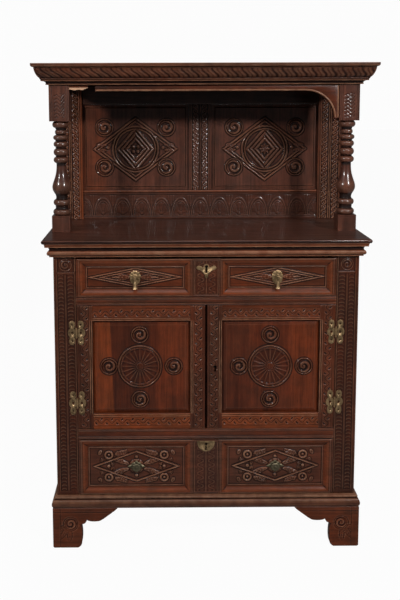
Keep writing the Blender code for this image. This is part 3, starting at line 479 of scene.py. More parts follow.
def prism(name, outline, front, back, round_over=0.0):
    """An outline of (x, z) pairs, counter-clockwise seen from the front, between two depths."""
    shape = bmesh.new()
    corners = [shape.verts.new((x, front, z)) for x, z in outline]
    face = shape.faces.new(corners)
    made = bmesh.ops.extrude_face_region(shape, geom=[face])
    moved = [item for item in made["geom"] if isinstance(item, bmesh.types.BMVert)]
    bmesh.ops.translate(shape, verts=moved, vec=(0.0, back - front, 0.0))
    if round_over:
        rim = [edge for edge in shape.edges if all(abs(vertex.co.y - front) < 1e-7 for vertex in edge.verts)]
        bmesh.ops.bevel(shape, geom=rim, offset=round_over, segments=2, profile=0.5, affect="EDGES",
                        clamp_overlap=True)
    bmesh.ops.recalc_face_normals(shape, faces=list(shape.faces))
    return new_mesh(name, *drained(shape))


def cut_mesh(mesh, other, operation):
    """The solid left when one mesh is cut by another, as a new mesh of the first one's name."""
    name = mesh.name
    mesh.name = name + "_uncut"
    pair = [bpy.data.objects.new(item.name, item) for item in (mesh, other)]
    for made in pair:
        bpy.context.scene.collection.objects.link(made)
    step = pair[0].modifiers.new("Cut", "BOOLEAN")
    step.operation = operation
    step.solver = "EXACT"
    step.object = pair[1]
    graph = bpy.context.evaluated_depsgraph_get()
    result = bpy.data.meshes.new_from_object(pair[0].evaluated_get(graph))
    for made in pair:
        bpy.data.objects.remove(made)
    bpy.data.meshes.remove(mesh)
    bpy.data.meshes.remove(other)
    result.name = name
    return result


def profile_wear_and_shade(profile, reach=4):
    """Which points of a closed profile stand out (1) or lie in a hollow (-1): as carve, painted shade in the
    hollows and wear and painted highlight on the ridges.
    """
    points = np.asarray(profile)
    mean = np.mean([np.roll(points, shift, 0) for shift in range(-reach, reach + 1)], 0)
    ahead = np.roll(points, -1, 0) - np.roll(points, 1, 0)
    normal = np.stack([ahead[:, 1], -ahead[:, 0]], -1)
    area = np.sum(points[:, 0] * np.roll(points[:, 1], -1) - points[:, 1] * np.roll(points[:, 0], -1))
    normal *= np.sign(area) / np.maximum(np.linalg.norm(normal, axis=1, keepdims=True), 1e-9)
    return np.clip(np.sum((points - mean) * normal, 1) / 0.0012, -1.0, 1.0), normal


def arc(centre, radii, start, end, count=9):
    """Points of an elliptical arc, angles in degrees."""
    angles = np.radians(np.linspace(start, end, count))
    return [(centre[0] + radii[0] * math.cos(a), centre[1] + radii[1] * math.sin(a)) for a in angles]


def refine(profile, step):
    """A closed profile with points no more than a step apart."""
    found = []
    for start, end in zip(profile, profile[1:] + profile[:1]):
        length = math.dist(start, end)
        count = max(1, math.ceil(length / step))
        for place in range(count):
            share = place / count
            found.append((start[0] + share * (end[0] - start[0]), start[1] + share * (end[1] - start[1])))
    return np.array(found)


def mitred_moulding(name, profile, half, front_y, back_y, step, relief=None):
    """A moulding swept along both sides and the front of a box.

    The profile is closed, in (reach, height) pairs. relief(along, reach, height) stands out along the normal.
    """
    wear_and_shade, normal = profile_wear_and_shade(profile)
    reach = profile[:, 0]
    height = profile[:, 1]
    side = np.linspace(0.0, 1.0, max(2, math.ceil((front_y - back_y) / -step)) + 1)
    front = np.linspace(0.0, 1.0, max(2, math.ceil(2 * half / step)) + 1)
    rings = []
    for share in side:
        y = back_y + share * (front_y - reach - back_y)
        rings.append((-half - reach, y, share * (back_y - front_y), (-1, 0)))
    for share in front[1:]:
        rings.append(((2 * share - 1) * (half + reach), front_y - reach, (2 * share - 1) * half, (0, -1)))
    for share in side[1:]:
        y = front_y - reach + share * (back_y - front_y + reach)
        rings.append((half + reach, y, share * (back_y - front_y), (1, 0)))
    corners = (len(side) - 1, len(side) + len(front) - 2)
    points = []
    carve = []
    for place, (x, y, along, out) in enumerate(rings):
        lift = np.zeros(len(profile))
        if relief is not None and place not in corners:
            lift = relief(along, reach, height)
        points.append(np.stack([x + out[0] * lift * normal[:, 0], y + out[1] * lift * normal[:, 0],
                                height + lift * normal[:, 1]], -1))
        carve.append(lift)
    # Hollows of the profile and of the carving get painted shade, ridges wear and painted highlight
    carve = np.clip(hollows(np.array(carve)) + wear_and_shade, -1.0, 1.0).ravel()
    mesh = new_mesh(name, np.concatenate(points), tube_faces(len(rings), len(profile)), carve)
    tidy_normals(mesh)
    return mesh


def tidy_normals(mesh):
    """Turns all faces of a closed mesh outwards."""
    shape = bmesh.new()
    shape.from_mesh(mesh)
    bmesh.ops.recalc_face_normals(shape, faces=list(shape.faces))
    shape.to_mesh(mesh)
    shape.free()


def turned(name, profile, sides=64, bend=None):
    """A solid turned about the Z axis from (height, radius) pairs, lowest first."""
    profile = np.array(profile)
    angles = np.linspace(0.0, 2 * math.pi, sides, endpoint=False)
    radius = profile[:, 1][:, None] * np.ones(sides)
    if bend is not None:
        radius = radius * bend(profile[:, 0][:, None], angles[None, :])
    points = np.stack([radius * np.cos(angles), radius * np.sin(angles),
                       profile[:, 0][:, None] * np.ones(sides)], -1).reshape(-1, 3)
    # Necks between the rings get painted shade; the rings' crests a little wear and painted highlight
    smooth = np.convolve(np.pad(profile[:, 1], 5, mode="edge"), np.ones(11) / 11, mode="valid")
    wear_and_shade = np.clip((profile[:, 1] - smooth) / 0.0016, -1.0, 0.25)
    return new_mesh(name, points, tube_faces(len(profile), sides), np.repeat(wear_and_shade, sides))


def plate(name, outline, height, rings, spokes, thickness):
    """A closed plate that faces -Y, with its back on Y 0.

    outline(angle) gives its radius and height(x, z, share) how far it stands out over its thickness.
    """
    angles = np.linspace(0.0, 2 * math.pi, spokes, endpoint=False)
    share = np.linspace(0.0, 1.0, rings + 1)[1:]
    radius = share[:, None] * outline(angles)[None, :]
    x = radius * np.cos(angles)
    z = radius * np.sin(angles)
    lift = height(x, z, share[:, None] * np.ones(spokes))
    points = np.stack([x, -thickness - lift, z], -1).reshape(-1, 3)
    middle = float(height(np.zeros(1), np.zeros(1), np.zeros(1))[0])
    centre = np.array([[0.0, -thickness - middle, 0.0]])
    back = np.stack([x[-1], np.zeros(spokes), z[-1]], -1)
    index = 1 + np.arange(rings * spokes).reshape(rings, spokes)
    following = np.roll(index, -1, 1)
    rear = 1 + rings * spokes + np.arange(spokes)
    quads = np.stack([index[:-1], index[1:], following[1:], following[:-1]], -1).reshape(-1, 4)
    fan = np.stack([np.zeros(spokes, dtype=int), index[0], following[0]], -1)
    skirt = np.stack([index[-1], rear, np.roll(rear, -1), following[-1]], -1)
    faces = fan.tolist() + quads.tolist() + skirt.tolist() + [rear[::-1].tolist()]
    mesh = new_mesh(name, np.concatenate([centre, points, back]), faces)
    tidy_normals(mesh)
    return mesh


def joined(name, meshes):
    """Several closed meshes as one."""
    shape = bmesh.new()
    for mesh in meshes:
        shape.from_mesh(mesh)
    made = bpy.data.meshes.new(name)
    shape.to_mesh(made)
    shape.free()
    for mesh in meshes:
        bpy.data.meshes.remove(mesh)
    return made


def shifted(mesh, place, axis=None):
    """A mesh turned a quarter about an axis, if one is given, and moved to a place."""
    if axis:
        mesh.transform(Matrix.Rotation(math.pi / 2, 4, axis))
    mesh.transform(Matrix.Translation(place))
    return mesh


# Carver's cuts, as heights over or under a face

def highest(*heights):
    """The highest of several heights at each place."""
    return reduce(np.maximum, heights)


def edge_gap(x, z, low, high):
    """Distance from the nearest edge of a board's face."""
    return np.minimum(np.minimum(x - low[0], high[0] - x), np.minimum(z - low[2], high[2] - z))


def rise(value, width):
    """0 below zero, 1 over the width, and a smooth slope between."""
    share = np.clip(value / width, 0.0, 1.0)
    return share * share * (3.0 - 2.0 * share)


def bead(distance, half):
    """Round bead, 1 high at its middle."""
    return np.sqrt(np.clip(1.0 - (distance / half) ** 2, 0.0, 1.0))


def groove(distance, half):
    """V cut, 1 deep at its middle."""
    return np.clip(1.0 - np.abs(distance) / half, 0.0, 1.0)


def eased(x, z, low, high, width=0.0024, depth=0.0010):
    """Fall of the rubbed arris round a board's face."""
    return -depth * np.clip(1.0 - edge_gap(x, z, low, high) / width, 0.0, 1.0) ** 2


def plait(along, across, pitch, swing, half):
    """Two strands that cross at each pitch, with a pellet in each eye."""
    turn = math.pi * along / pitch
    slope = np.sqrt(1.0 + (math.pi * swing / pitch * np.cos(turn)) ** 2)
    over = 0.80 + 0.20 * np.cos(turn)
    first = bead((across - swing * np.sin(turn)) / slope, half) * over
    second = bead((across + swing * np.sin(turn)) / slope, half) * (1.60 - over)
    middle = (along / pitch) % 1.0 - 0.5
    pellet = 0.9 * bead(np.hypot(middle * pitch, across), 0.46 * swing)
    return highest(first, second, pellet)


def running_scroll(along, across, pitch, swing):
    """A waving stem with a pierced bud in each bend."""
    turn = 2 * math.pi * along / pitch
    slope = np.sqrt(1.0 + (2 * math.pi * swing / pitch * np.cos(turn)) ** 2)
    carved = bead((across - swing * np.sin(turn)) / slope, 0.30 * swing)
    for shift, side in ((0.25, -1), (0.75, 1)):
        off = ((along / pitch - shift + 0.5) % 1.0 - 0.5) * pitch
        reach = np.hypot(off, across - side * 0.45 * swing) / (0.62 * swing)
        carved = np.maximum(carved, bead(reach, 1.0) - 0.9 * groove(reach, 0.42))
    return carved


def slanted_lobes(along, across, pitch):
    """Leaning leaf lobes across a band from -1 to 1."""
    place = (along / pitch + 0.36 * across + 0.12 * np.sin(math.pi * across)) % 1.0 - 0.5
    return bead(place, 0.44) - 0.40 * groove(place - 0.04 * across, 0.08)


def scales(along, across, pitch, half):
    """A column of overlapping scales, each with a raised round edge."""
    share = across / half
    place = (along / pitch + 0.42 * share ** 2) % 1.0
    lap = rise(place, 0.22) * (1.0 - 0.75 * rise(place - 0.22, 0.78))
    return lap * bead(share, 1.0) ** 0.5


def gouged_scroll(along, across, pitch, half):
    """Depth, from 0 to 1, of a running scroll cut with a gouge: a waving cut with a pit in each bend."""
    turn = 2 * math.pi * along / pitch
    swing = 0.46 * half
    slope = np.sqrt(1.0 + (2 * math.pi * swing / pitch * np.cos(turn)) ** 2)
    cut = 0.60 * groove((across - swing * np.sin(turn)) / slope, 0.0019)
    for shift, side in ((0.25, -1), (0.75, 1)):
        off = ((along / pitch - shift + 0.5) % 1.0 - 0.5) * pitch
        level = across - side * 0.50 * half
        reach = np.hypot((off - 0.55 * side * level) / (0.115 * pitch), level / (0.38 * half))
        cut = np.maximum(cut, 1.0 - rise(reach - 0.45, 0.55))
    return np.maximum(cut, 0.55 * groove(np.abs(across) - half, 0.0013))


def scroll_boss(x, z, radius, hand=1.0):
    """Round boss with a thin rim and a bold spiral that winds to an eye."""
    reach = np.hypot(x, z) / radius
    turn = hand * np.arctan2(z, x) / (2 * math.pi)
    arm = 0.5 + 0.5 * np.cos(2 * math.pi * (1.75 * reach - turn))
    inner = (1.0 - rise(reach - 0.70, 0.10)) * (0.10 + 0.95 * rise(arm - 0.20, 0.65))
    rim = 0.75 * bead(reach - 0.92, 0.075)
    eye = 1.05 * bead(reach, 0.19)
    return highest(inner * (reach < 0.82), rim, eye)


def sunburst(x, z, radius, rays=20):
    """Roundel of gouged rays inside a thin ring, with a low boss at its middle."""
    reach = np.hypot(x, z) / radius
    angle = np.arctan2(z, x)
    flute = np.sqrt(np.abs(np.sin(0.5 * rays * angle)))
    spread = rise(reach - 0.17, 0.10) * (1.0 - rise(reach - 0.78, 0.07))
    field = 0.62 - 0.62 * flute * spread
    rings = np.maximum(bead(reach - 0.955, 0.042), 0.60 * bead(reach - 0.875, 0.026))
    boss = 0.85 * bead(reach, 0.155)
    return highest(field * (reach < 0.85), rings, boss) - 0.5 * groove(reach - 0.185, 0.03)


def lozenge(x, z, half_x, half_z):
    """Distance from a lozenge's outline, positive outside."""
    scale = half_x * half_z / math.hypot(half_x, half_z)
    return (np.abs(x) / half_x + np.abs(z) / half_z - 1.0) * scale


def leaf(x, z, length, half):
    """Leaf that grows along +x from the origin, with a vein and side cuts."""
    share = np.clip(x / length, 0.0, 1.0)
    width = half * np.sin(math.pi * share ** 0.8) ** 0.8 + 1e-6
    across = np.clip(np.abs(z) / width, 0.0, 1.0)
    body = np.sqrt(1.0 - across ** 2) * (x > 0) * (x < length)
    vein = groove(z, 0.14 * half)
    veins = 0.5 + 0.5 * np.cos(2 * math.pi * (5.0 * share - 1.1 * across))
    return body * (0.72 + 0.28 * veins - 0.5 * vein)


def spun(x, z, angle):
    """The same place seen from axes turned by an angle, in degrees."""
    turn = math.radians(angle)
    return x * math.cos(turn) + z * math.sin(turn), z * math.cos(turn) - x * math.sin(turn)


def leaf_at(x, z, angle, length, half, start=0.0):
    """Leaf that grows at an angle, in degrees, from a start away from the origin."""
    along, across = spun(x, z, angle)
    return leaf(along - start, across, length, half)


def side_board(mesh, side):
    """Turns a board that faces -Y to face out at the right (1) or the left (-1)."""
    mesh.transform(Matrix.Rotation(side * math.pi / 2, 4, "Z"))
    return mesh


def two_planks(name, node, gap):
    """Lays a board of the frame as two planks with a gap between them."""
    low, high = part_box(node)
    cuts = np.linspace(low[1], high[1], 3)
    for place in range(2):
        mesh = plain_board(f"{name}_plank_{place + 1}", (low[0], cuts[place], low[2]),
                           (high[0], cuts[place + 1] - gap * (place == 0), high[2]))
        place_oak(mesh, "inside", X_GRAIN, node)


def cut_keyhole(mesh, hole, radius, drop, front, back):
    """A mesh with a keyhole, a round over a slot that drops below it, cut from its front to a depth."""
    slot = 0.75 * radius
    key = arc(hole, (radius, radius), 245, -65, 20)
    key += [(hole[0] + slot, hole[1] - drop), (hole[0] - slot, hole[1] - drop)]
    cutter = prism("key_cut", key[::-1], front - 0.01, back)
    # The cutter is marked fully dark, so that the keyhole is painted dark as painted shade
    cutter.attributes["carve"].data.foreach_set("value", np.full(len(cutter.vertices), -1.0))
    return cut_mesh(mesh, cutter, "DIFFERENCE")


def key_level(name):
    """Height of the keyhole in a drawer's key plate."""
    low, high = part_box(f"{name}_drawer_key_plate")
    share = 0.83 if name == "upper" else 0.72
    return low[2] + share * (high[2] - low[2])


class CUPBOARD_OT_front_stiles(bpy.types.Operator):
    """Carves the two front stiles with two columns of scales and a plain bead between them"""

    bl_idname = "cupboard.front_stiles"
    bl_label = "Front stiles"

    def stile(self, name, side, sizes):
        """One stile, with a carved block at its head."""
        low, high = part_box(f"front_stile_{name}")
        inner = min(abs(low[0]), abs(high[0]))
        block_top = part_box("top_moulding")[0][2] - 0.004
        block_low = block_top - 0.052

        def relief(x, z):
            inward = side * x - inner
            depth = 0.58 * sizes.ground_depth
            first = scales(z, inward - 0.0165, sizes.ladder_pitch, 0.0115)
            second = scales(z + 0.4 * sizes.ladder_pitch, inward - 0.0487, sizes.ladder_pitch, 0.0098)
            middle = 0.9 * bead(inward - 0.0337, 0.0042)
            margin = rise(inward - 0.0590, 0.0016) + 1.0 - rise(inward - 0.0036, 0.0012)
            margin = np.clip(margin, 0, 1)
            carved = highest(first, second, middle, margin)
            level = z - 0.5 * (block_low + block_top)
            flower = scroll_boss(inward - 0.0330, level, 0.021)
            block = np.minimum(z - block_low, block_top - z)
            carved = np.where(block > 0, np.maximum(flower, margin), carved)
            plain = rise(np.abs(level) - 0.023, 0.0015) * (1.0 - rise(np.abs(level) - 0.030, 0.0015))
            foot = 1.0 - rise(z - (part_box("plinth_moulding")[1][2] + 0.012), 0.002)
            head = rise(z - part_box("top_moulding")[0][2], 0.002)
            carved = highest(carved, plain, foot, head)
            line = 0.0014 * groove(inward - 0.0668, 0.0012)
            return depth * (carved - 1.0) - line + eased(x, z, low, high)

        def tone(x, z):
            return -0.50 + 0.30 * rise(side * x - inner - 0.060, 0.002)

        mesh = carved_board(f"carved_front_stile_{name}", low, high, relief, tone=tone)
        place_oak(mesh, "carved", Z_GRAIN, f"front_stile_{name}")

    def execute(self, context):
        for name, side in SIDES:
            self.stile(name, side, context.scene.cupboard_carving)
        return {"FINISHED"}


class CUPBOARD_OT_case_rails(bpy.types.Operator):
    """Runs scratch beads along the front rails of the case and cuts mortises for the bolts"""

    bl_idname = "cupboard.case_rails"
    bl_label = "Case rails"

    # Room round a bolt, and over it for its travel
    PLAY = 0.001
    TRAVEL = 0.0115

    def execute(self, context):
        for node in ("lower_rail", "upper_rail", "top_rail"):
            low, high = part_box(node)
            middle = 0.5 * (low[2] + high[2])
            half = 0.5 * (high[2] - low[2])
            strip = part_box("top_moulding")[0][2] if node == "top_rail" else 0.0

            def relief(x, z):
                off = np.abs(z - middle)
                lines_cut = groove(off - 0.45 * half, 0.0011) + groove(off - 0.78 * half, 0.0011)
                swell = bead(off, 0.45 * half) ** 2 - 1.0
                face = -0.0016 * lines_cut + 0.0008 * swell * (off < 0.45 * half) - 0.013 * (z < strip)
                return face + eased(x, z, low, high)

            mesh = carved_board(f"beaded_{node}", low, high, relief, step=0.0014 if half < 0.03 else 0.003)
            bolt = {"top_rail": "upper_drawer_bolt", "lower_rail": "lower_drawer_bolt"}.get(node)
            if bolt:
                start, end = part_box(bolt)
                left = start[0] - self.PLAY
                right = end[0] + self.PLAY
                foot = low[2] - self.PLAY
                head = end[2] + self.TRAVEL
                outline = [(left, foot), (right, foot), (right, head), (left, head)]
                mortise = prism("mortise", outline, start[1] - self.PLAY, end[1] + self.PLAY)
                mesh = cut_mesh(mesh, mortise, "DIFFERENCE")
            place_oak(mesh, "carved", X_GRAIN, node)
        return {"FINISHED"}


class CUPBOARD_OT_case_sides(bpy.types.Operator):
    """Frames each side with stiles, rails and two sunk panels"""

    bl_idname = "cupboard.case_sides"
    bl_label = "Case sides"

    def framed(self, name, side):
        """One side: a front stile, a rear leg, three rails and two panels."""
        low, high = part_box(f"side_{name}")
        outer = max(abs(low[0]), abs(high[0]))
        inner = min(abs(low[0]), abs(high[0]))
        front, back = low[1], high[1]
        stile_front = front + 0.045
        stile_back = back - 0.075
        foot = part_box(f"front_stile_{name}")[0][2]
        levels = (foot, 0.2265, 0.57175, 0.66175, 0.962, high[2])
        boards = [("front_stile", front, stile_front, foot, high[2], Z_GRAIN),
                  ("rear_leg", stile_back, back, low[2], high[2], Z_GRAIN),
                  ("lower_rail", stile_front, stile_back, levels[0], levels[1], Y_GRAIN),
                  ("middle_rail", stile_front, stile_back, levels[2], levels[3], Y_GRAIN),
                  ("upper_rail", stile_front, stile_back, levels[4], levels[5], Y_GRAIN)]
        for label, y0, y1, z0, z1, axis in boards:
            first, last = (y0, y1) if side > 0 else (-y1, -y0)
            mesh = plain_board(f"side_{label}_{name}", (first, -outer, z0), (last, -inner, z1))
            place_oak(side_board(mesh, side), "carved", axis, f"side_{name}")
        for label, z0, z1 in (("lower", levels[1], levels[2]), ("upper", levels[3], levels[4])):
            first, last = (stile_front, stile_back) if side > 0 else (-stile_back, -stile_front)
            corner = (first - 0.004, -outer + 0.008, z0 - 0.004)
            other = (last + 0.004, -inner - 0.001, z1 + 0.004)

            def relief(x, z):
                near = edge_gap(x, z, corner, other)
                return 0.0035 * rise(near - 0.004, 0.026) + 0.0012 * rise(near - 0.0300, 0.0015)

            mesh = carved_board(f"side_{label}_panel_{name}", corner, other, relief, step=0.004)
            place_oak(side_board(mesh, side), "panel", Z_GRAIN, f"side_{name}")

    def execute(self, context):
        for name, side in SIDES:
            self.framed(name, side)
        return {"FINISHED"}


class CUPBOARD_OT_inner_boards(bpy.types.Operator):
    """Lays the floors, the dust board and the back of the case as separate planks"""

    bl_idname = "cupboard.inner_boards"
    bl_label = "Inner boards"

    def execute(self, context):
        for node in ("bottom_board", "cupboard_floor", "dust_board"):
            two_planks(node, node, 0.0008)
        low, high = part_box("lower_back")
        cuts = np.linspace(low[0], high[0], 6)
        for place in range(5):
            start = cuts[place] + 0.0006 * (place > 0)
            mesh = plain_board(f"lower_back_plank_{place + 1}", (start, low[1], low[2]),
                               (cuts[place + 1], high[1], high[2]), 0.0010)
            place_oak(mesh, "inside", Z_GRAIN, "lower_back")
        return {"FINISHED"}


class CUPBOARD_OT_mouldings(bpy.types.Operator):
    """Runs the moulding under the serving top and the plinth moulding"""

    bl_idname = "cupboard.mouldings"
    bl_label = "Mouldings"

    def execute(self, context):
        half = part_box("front_stile_right")[1][0] + 0.0003
        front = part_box("front_stile_right")[0][1] - 0.0003
        low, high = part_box("top_moulding")
        top, foot = high[2], low[2]
        profile = [(0.0, foot), (0.0105, foot), (0.0105, foot + 0.0044)]
        profile += arc((0.0100, top - 0.0322), (0.0080, 0.0082), -86, 82, 17)
        profile += [(0.0112, top - 0.0232), (0.0108, top - 0.0180), (0.0140, top - 0.0128)]
        profile += [(0.0236, top - 0.0112), (0.0246, top - 0.0040), (0.0262, top), (0.0, top)]
        mesh = mitred_moulding("top_moulding_run", refine(profile, 0.0020), half, front, high[1], 0.02)
        store(mesh, "tone", 0.42)
        place_oak(mesh, "carved", X_GRAIN, "top_moulding")
        low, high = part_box("plinth_moulding")
        top, foot = high[2], low[2]
        profile = [(0.0, foot), (0.0125, foot), (0.0135, foot + 0.0012)]
        profile += arc((0.0070, foot + 0.0145), (0.0105, 0.0146), -58, 84, 19)
        profile += [(0.0066, foot + 0.0302), (0.0066, foot + 0.0322), (0.0100, foot + 0.0329)]
        profile += [(0.0104, foot + 0.0378), (0.0088, foot + 0.0394), (0.005, top), (0.0, top)]
        mesh = mitred_moulding("plinth_moulding_run", refine(profile, 0.0020), half, front, high[1], 0.02)
        place_oak(mesh, "carved", X_GRAIN, "plinth_moulding")
        return {"FINISHED"}


class CUPBOARD_OT_bracket_feet(bpy.types.Operator):
    """Shapes the two bracket feet, each a carved front and a side return"""

    bl_idname = "cupboard.bracket_feet"
    bl_label = "Bracket feet"

    def foot(self, name, side):
        """One foot: its front and its return, cut to the same outline."""
        low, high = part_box(f"foot_{name}")
        outer = max(abs(low[0]), abs(high[0]))
        front, top = low[1], high[2]
        knee, thickness = 0.0915, 0.024
        outline = [(0.004, 0.0), (knee - 0.007, 0.0), (knee - 0.001, 0.003)]
        outline += arc((knee + 0.002, 0.043), (0.007, 0.036), -90, 90, 17)
        outline += [(knee + 0.0015, 0.081), (knee + 0.018, 0.0870), (knee + 0.0235, 0.0960)]
        outline += arc((knee + 0.0495, 0.0995), (0.0245, 0.0060), 185, 325, 15)
        outline += [(knee + 0.082, 0.1035), (knee + 0.104, 0.1200), (knee + 0.118, 0.1305)]
        outline += [(knee + 0.128, top), (0.0, top), (0.0, 0.004)]

        def relief(along, z):
            u = along - 0.060
            v = z - 0.084
            sunk = 1.0 - rise(np.hypot(u, v) - 0.0240, 0.0030)
            cut = sunk * (1.0 - scroll_boss(u, v, 0.0240, -1.0))
            for turn, length in ((206, 0.030), (236, 0.046), (266, 0.044)):
                petal = leaf_at(u, v, turn, length, 0.0095, 0.0220)
                cut = np.maximum(cut, (petal > 0.0) * (1.0 - petal))
            line = 0.0016 * groove(along - 0.0245, 0.0014)
            edge = 0.0012 * groove(z - 0.126, 0.0014)
            return -0.0023 * cut * (along > 0.0270) - line - edge

        def flipped(x, z):
            return relief(outer - side * x, z)

        ends = sorted((side * outer, side * (outer - 0.235)))
        board = carved_board(f"foot_front_{name}", (ends[0], front, -0.001),
                             (ends[1], front + thickness, top + 0.001), flipped, step=0.0021, tone=0.28)
        shape = [(side * (outer - along), z) for along, z in outline]
        blank = prism("foot_outline", shape[::-side], front - 0.02, front + 0.05)
        mesh = cut_mesh(board, blank, "INTERSECT")
        place_oak(mesh, "carved", X_GRAIN, f"foot_{name}")
        start = front + thickness + 0.0002
        ends = (start, start + 0.22) if side > 0 else (-start - 0.22, -start)

        def returned(x, z):
            return relief(side * x - front, z)

        board = carved_board(f"foot_return_{name}", (ends[0], -outer, -0.001),
                             (ends[1], -outer + thickness, top + 0.001), returned, step=0.0024)
        shape = [(side * (front + along), z) for along, z in outline]
        blank = prism("foot_outline", shape[::side], -outer - 0.02, -outer + 0.05)
        mesh = cut_mesh(board, blank, "INTERSECT")
        place_oak(side_board(mesh, side), "carved", Y_GRAIN, f"foot_{name}")

    def execute(self, context):
        for name, side in SIDES:
            self.foot(name, side)
        return {"FINISHED"}


class CUPBOARD_OT_serving_top(bpy.types.Operator):
    """Lays the serving top with its rounded nose"""

    bl_idname = "cupboard.serving_top"
    bl_label = "Serving top"

    def execute(self, context):
        mesh = plain_board("rounded_serving_top", *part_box("serving_top"), 0.0052, 6, -0.24)
        place_oak(mesh, "stage", X_GRAIN, "serving_top")
        return {"FINISHED"}


class CUPBOARD_OT_columns(bpy.types.Operator):
    """Turns the two columns and carves their blocks"""

    bl_idname = "cupboard.columns"
    bl_label = "Columns"

    TOP_BLOCK = 0.069
    TOP_BLOCK_HEIGHT = 0.123
    BASE_BLOCK = 0.063
    BASE_BLOCK_HEIGHT = 0.056
    VASE_NECK = 0.0165
    VASE_BELLY = 0.0310
    VASE_FOOT = 0.0205
    # Height and radius of each ring and of the neck under it, from the top down
    RINGS = ((0.0235, 0.0285), (0.017, 0.0200), (0.0165, 0.0262), (0.0205, 0.0252), (0.0265, 0.0256),
             (0.022, 0.0260))
    NECKS = ((0.006, 0.0180), (0.002, 0.0180), (0.004, 0.0190), (0.004, 0.0190), (0.0025, 0.0195))
    # Height and radius of each ring of the foot, and whether it is rounded
    FOOT = ((0.0125, 0.0205, 0), (0.0235, 0.0288, 1), (0.0110, 0.0225, 0), (0.0215, 0.0305, 1))

    def ring(self, top, height, radius):
        """Half-round ring, from its top down."""
        root = max(radius - 0.46 * height, 0.0145)
        return [(top - height * (0.5 - 0.5 * math.cos(a)), root + (radius - root) * math.sin(a))
                for a in np.linspace(0.12, math.pi - 0.12, 15)]

    def turning(self, low, high):
        """(height, radius) pairs from the base block up to the top block."""
        level = high
        found = []
        for place, (height, radius) in enumerate(self.RINGS):
            found += self.ring(level, height, radius)
            level -= height
            if place < len(self.NECKS):
                neck, radius = self.NECKS[place]
                found += [(level - 0.001, radius), (level - neck + 0.001, radius)]
                level -= neck
        foot = sum(height for height, radius, rounded in self.FOOT)
        vase_top, vase_low = level, low + foot
        for share in np.linspace(0.02, 1.0, 40):
            swell = math.sin(math.pi * min(1.0, share ** 2.2)) ** 1.25 if share < 1.0 else 0.0
            radius = self.VASE_NECK + (self.VASE_BELLY - self.VASE_NECK) * swell
            radius += share ** 4 * (self.VASE_FOOT - self.VASE_NECK)
            found.append((vase_top - share * (vase_top - vase_low), radius))
        level = vase_low
        for height, radius, rounded in self.FOOT:
            if rounded:
                found += self.ring(level, height, radius)
            else:
                found += [(level - 0.001, radius), (level - 0.5 * height, radius - 0.0012)]
                found += [(level - height + 0.001, radius)]
            level -= height
        return [(high, found[0][1])] + found + [(low, found[-1][1])]

    def block(self, name, centre, half, low, high, relief):
        """A square block whose four faces are carved alike."""
        step = 0.0017
        u, v = np.meshgrid(lines(-half, half, step)[:-1], lines(low, high, step))
        edge = np.minimum(half - np.abs(u), 0.003) / 0.003
        lift = relief(u, v - 0.5 * (low + high), 0.5 * (high - low)) - 0.0006 * (1.0 - edge)
        sides = []
        for out_x, out_y in ((0, -1), (1, 0), (0, 1), (-1, 0)):
            sides.append(np.stack([centre[0] + out_x * (half + lift) - out_y * u,
                                   centre[1] + out_y * (half + lift) + out_x * u, v], -1))
        grid = np.concatenate(sides, 1)
        carve = np.concatenate(4 * [hollows(lift)], 1)
        return new_mesh(name, grid.reshape(-1, 3), tube_faces(*grid.shape[:2]), carve.ravel())

    def column(self, node):
        """One column: a leafy top block, a plain base block and the turning between them."""
        low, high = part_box(node)
        centre = (0.5 * (low[0] + high[0]), 0.5 * (low[1] + high[1]))
        block_low = high[2] - self.TOP_BLOCK_HEIGHT
        base_high = low[2] + self.BASE_BLOCK_HEIGHT

        def leafy(u, v, half_v):
            line = groove(np.abs(u) - 0.0292, 0.0011) + 0.8 * groove(np.abs(u) - 0.0245, 0.0011)
            field = rise(0.0190 - np.abs(u), 0.003) * rise(0.036 - v, 0.006)
            field = field * rise(v + half_v - 0.009, 0.004)
            wave = v / 0.0125 + 0.35 * np.sin(math.pi * u / 0.012) + 0.25 * np.cos(math.pi * u / 0.019)
            lobe = np.abs(np.sin(math.pi * wave)) ** 0.75
            return -0.0012 * line - 0.0014 * field * (1.0 - lobe)

        def plain(u, v, half_v):
            border = np.minimum(0.5 * self.BASE_BLOCK - np.abs(u), half_v - np.abs(v))
            return -0.0009 * groove(border - 0.006, 0.0012)

        mesh = self.block(f"{node}_top_block", centre, 0.5 * self.TOP_BLOCK, block_low, high[2], leafy)
        place_oak(mesh, "stage", Z_GRAIN, node)
        mesh = self.block(f"{node}_base_block", centre, 0.5 * self.BASE_BLOCK, low[2], base_high, plain)
        place_oak(mesh, "stage", Z_GRAIN, node)
        mesh = turned(f"{node}_turning", self.turning(base_high, block_low)[::-1])
        place_oak(shifted(mesh, (*centre, 0.0)), "turned", Z_GRAIN, node)

    def execute(self, context):
        for node in ("column_left", "column_right"):
            self.column(node)
        return {"FINISHED"}


